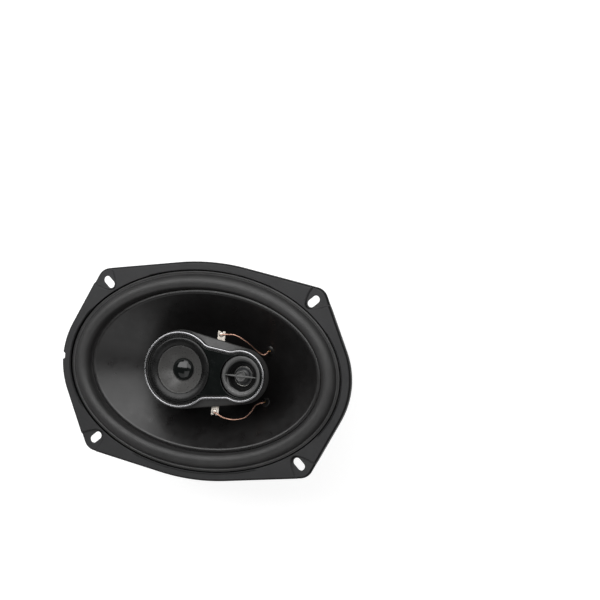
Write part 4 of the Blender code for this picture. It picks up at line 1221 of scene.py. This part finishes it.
STRAND_RADIUS = 0.27
STRAND_TWIST = 4.2
FRONT_UPPER = (
    (14.0, 28.6, 84.75),
    (17.6, 29.2, 84.75),
    (24.6, 29.6, 83.6),
    (29.8, 27.4, 81.0),
    (34.5, 23.6, 76.0),
    (37.0, 20.0, 70.5),
    (39.4, 17.2, 66.3),
    (41.8, 16.0, 63.9),
    (44.0, 17.2, 63.2),
    (45.0, 18.9, 63.3),
)
FRONT_LOWER = (
    (14.0, -29.4, 84.75),
    (17.6, -30.6, 84.75),
    (22.8, -32.7, 84.0),
    (29.8, -33.2, 81.5),
    (35.9, -31.2, 77.0),
    (38.8, -26.9, 72.0),
    (40.0, -22.5, 67.4),
    (42.2, -20.6, 64.4),
    (44.0, -20.0, 63.3),
    (45.0, -19.5, 63.2),
)
REAR_LEAD = (
    (57.2, 10.6, 36.6),
    (58.6, 12.2, 39.0),
    (59.0, 14.6, 44.0),
    (56.5, 17.2, 49.5),
    (52.5, 18.8, 54.0),
    (49.0, 19.6, 56.3),
    (46.9, 19.8, 57.3),
)


def smooth_route(route, steps=14):
    """Catmull-Rom points through a route."""
    route = np.asarray(route, float)
    padded = np.vstack((2.0 * route[0] - route[1], route, 2.0 * route[-1] - route[-2]))
    points = []
    for a, b, c, d in zip(padded, padded[1:], padded[2:], padded[3:]):
        for t in np.linspace(0.0, 1.0, steps, endpoint=False):
            bend = 2.0 * b + (c - a) * t + (2.0 * a - 5.0 * b + 4.0 * c - d) * t * t
            points.append(0.5 * (bend + (3.0 * b - a - 3.0 * c + d) * t**3))
    points.append(route[-1])
    return np.array(points)


def tube_rows(centres, radius, sides=8):
    """Rings of a tube along a line of points, with a steady side direction."""
    along = np.gradient(centres, axis=0)
    along /= np.linalg.norm(along, axis=1, keepdims=True)
    side = np.cross(along, (0.0, 0.31, 0.95))
    side /= np.linalg.norm(side, axis=1, keepdims=True)
    up = np.cross(side, along)
    turns = even_angles(sides)[None, :, None]
    around = side[:, None, :] * np.cos(turns) + up[:, None, :] * np.sin(turns)
    return centres[:, None, :] + radius * around, side, up


def build_lead(name, route, node):
    """A lead of four twisted strands, which runs from the frame to the cone."""
    centres = smooth_route(route)
    steps = np.linalg.norm(np.diff(centres, axis=0), axis=1)
    length = np.concatenate(((0.0,), np.cumsum(steps)))
    _, side, up = tube_rows(centres, STRAND_RADIUS)
    strands = []
    for start in even_angles(4):
        turns = (start + 2.0 * math.pi * length / STRAND_TWIST)[:, None]
        offset = STRAND_RADIUS * (np.cos(turns) * side + np.sin(turns) * up)
        strand, _, _ = tube_rows(centres + offset, STRAND_RADIUS)
        strands.append(grid_mesh("strand", strand, capped=True))
    obj = piece(merged(name, strands), "copper_braid", node, crease=80.0, rides=False)
    points = mesh_points(obj.data)
    nearest = ((points[:, None, :] - centres[None, :, :]) ** 2).sum(axis=2).argmin(axis=1)
    bending(obj)


def build_leads():
    """Leads from the tabs, and from the terminals, to the cone's eyelets."""
    build_lead("lead_upper", FRONT_UPPER, "front_lead_upper")
    build_lead("lead_lower", FRONT_LOWER, "front_lead_lower")
    build_lead("lead_positive", REAR_LEAD, "tinsel_lead_positive")
    build_lead("lead_negative", [(x, -y, z) for x, y, z in REAR_LEAD], "tinsel_lead_negative")


def build_capacitors():
    """Two sleeved capacitors across the pod, with a crimped groove near one end."""
    sizes = ((6.5, 76.1, 3.4, 6.0), (19.0, 82.0, 3.2, 7.0))
    for index, (x, z, radius, half) in enumerate(sizes):
        groove = [(radius, half - 1.8), (radius - 0.35, half - 2.2), (radius, half - 2.6)]
        profile = [(0.0, half - 0.3), (radius - 0.9, half - 0.3), (radius - 0.4, half)]
        profile += [(radius, half - 0.6), *groove]
        profile += [(radius, 0.6 - half), (radius - 0.4, -half), (0.0, -half)]
        mesh = lathe_mesh(f"capacitor_{index + 1}", profile, 0.2, count=56)
        turn = Matrix.Rotation(0.5 * math.pi, 4, "X")
        mesh.transform(Matrix.Translation(Vector((x, 0.0, z)) * MM) @ turn)
        piece(mesh, "sleeve", f"crossover_capacitor_{index + 1}")


HIDDEN_LOOKS = {
    "former": "voice_coil_former",
    "copper": "voice_coil_winding mid_voice_coil tweeter_voice_coil",
    "ferrite": "magnet_ring",
    "plated_steel": "yoke mid_top_plate mid_yoke tweeter_top_plate tweeter_yoke",
    "neodymium": "mid_magnet tweeter_magnet",
}


def dress_hidden_nodes():
    """Give the CAD nodes that stay their finished materials."""
    for slot, nodes in HIDDEN_LOOKS.items():
        for node in nodes.split():
            obj = frame["nodes"][node]
            obj.data.materials.clear()
            obj.data.materials.append(LOOKS[slot].material)


# ---- studio ---------------------------------------------------------------------------

FLOOR_HALF = 3.0
FLOOR_DROP = -0.0001
PANEL_HEIGHT = 1.0
PANELS = (
    ("key", (-1.00, 0.10), (0.10, 0.85), 3.8),
    ("key_back", (-0.45, 0.85), (0.45, 1.80), 2.9),
    ("key_side", (0.10, 0.16), (1.10, 0.85), 2.2),
    ("gap", (0.22, -0.20), (1.10, 0.16), 0.1),
    ("fill", (-0.10, -1.40), (0.60, -0.20), 0.9),
    ("low_fill", (-0.90, -1.60), (-0.10, -0.45), 0.6),
)

# The camera's lens and sensor in millimetres, and its right, up and back directions.
CAMERA_LENS = 93.414
CAMERA_SENSOR = 36.0
CAMERA_PLACE = (0.455161, 0.081630, 1.157585)
CAMERA_AXES = (
    (0.93807, 0.08865, -0.33491),
    (-0.08986, 0.99588, 0.01192),
    (0.33459, 0.01891, 0.94217),
)


def panel_light(name, low, high, radiance):
    """A soft level panel between two corners; its power follows its brightness."""
    data = bpy.data.lights.new(name, "AREA")
    data.shape = "RECTANGLE"
    data.size = high[0] - low[0]
    data.size_y = high[1] - low[1]
    data.energy = radiance * math.pi * data.size * data.size_y
    light = bpy.data.objects.new(name, data)
    light.location = (0.5 * (low[0] + high[0]), 0.5 * (low[1] + high[1]), PANEL_HEIGHT)
    bpy.context.scene.collection.objects.link(light)


def studio_world():
    """A pale backdrop for the camera, with a dim surround for light and reflections."""
    world = bpy.data.worlds.new("studio")
    world.use_nodes = True
    tree = world.node_tree
    surround = tree.nodes["Background"]
    surround.inputs["Color"].default_value = (0.06, 0.06, 0.06, 1.0)
    backdrop = tree.nodes.new("ShaderNodeBackground")
    backdrop.inputs["Color"].default_value = (0.9, 0.9, 0.9, 1.0)
    mix = tree.nodes.new("ShaderNodeMixShader")
    seen = tree.nodes.new("ShaderNodeLightPath").outputs["Is Camera Ray"]
    tree.links.new(seen, mix.inputs[0])
    tree.links.new(surround.outputs[0], mix.inputs[1])
    tree.links.new(backdrop.outputs[0], mix.inputs[2])
    tree.links.new(mix.outputs[0], tree.nodes["World Output"].inputs[0])
    return world


def build_studio():
    """Pale backdrop and floor, and soft lights."""
    bpy.context.scene.world = studio_world()
    bpy.context.scene.view_settings.view_transform = "Standard"
    for name, low, high, radiance in PANELS:
        panel_light(name, low, high, radiance)

    mesh = bpy.data.meshes.new("floor")
    corners = [(x, y, 0.0) for x, y in rectangle(FLOOR_HALF, FLOOR_HALF)]
    mesh.from_pydata(corners, [], [(0, 1, 2, 3)])
    white = (1.0, 1.0, 1.0, 1.0)
    look = Look("floor", (0.35, 0.35, 0.35), 0.8, Emission_Color=white, Emission_Strength=0.86)
    look.tinted(look.noise(3.0, 2.0), 0.01).worn(look.noise(30.0, 3.0), 0.05)
    mesh.materials.append(look.material)
    floor = bpy.data.objects.new("floor", mesh)
    floor.location.z = FLOOR_DROP
    bpy.context.scene.collection.objects.link(floor)


def build_camera():
    """A long lens above the speaker, to the right of its middle."""
    data = bpy.data.cameras.new("camera")
    data.lens = CAMERA_LENS
    data.sensor_width = CAMERA_SENSOR
    camera = bpy.data.objects.new("camera", data)
    place = Matrix(CAMERA_AXES).transposed().to_4x4()
    place.translation = CAMERA_PLACE
    camera.matrix_world = place
    bpy.context.scene.collection.objects.link(camera)
    bpy.context.scene.camera = camera


def build_speaker():
    """Every visible piece, from the basket out to the leads."""
    build_flange()
    build_body()
    build_magnet_circuit()
    build_cone()
    build_surround()
    build_spider()
    build_eyelets()
    build_housing()
    build_trim()
    build_faceplate()
    build_post()
    build_tabs()
    build_midrange()
    build_tweeter()
    build_terminals()
    build_leads()
    build_capacitors()
    dress_hidden_nodes()


build_speaker()
build_studio()
build_camera()
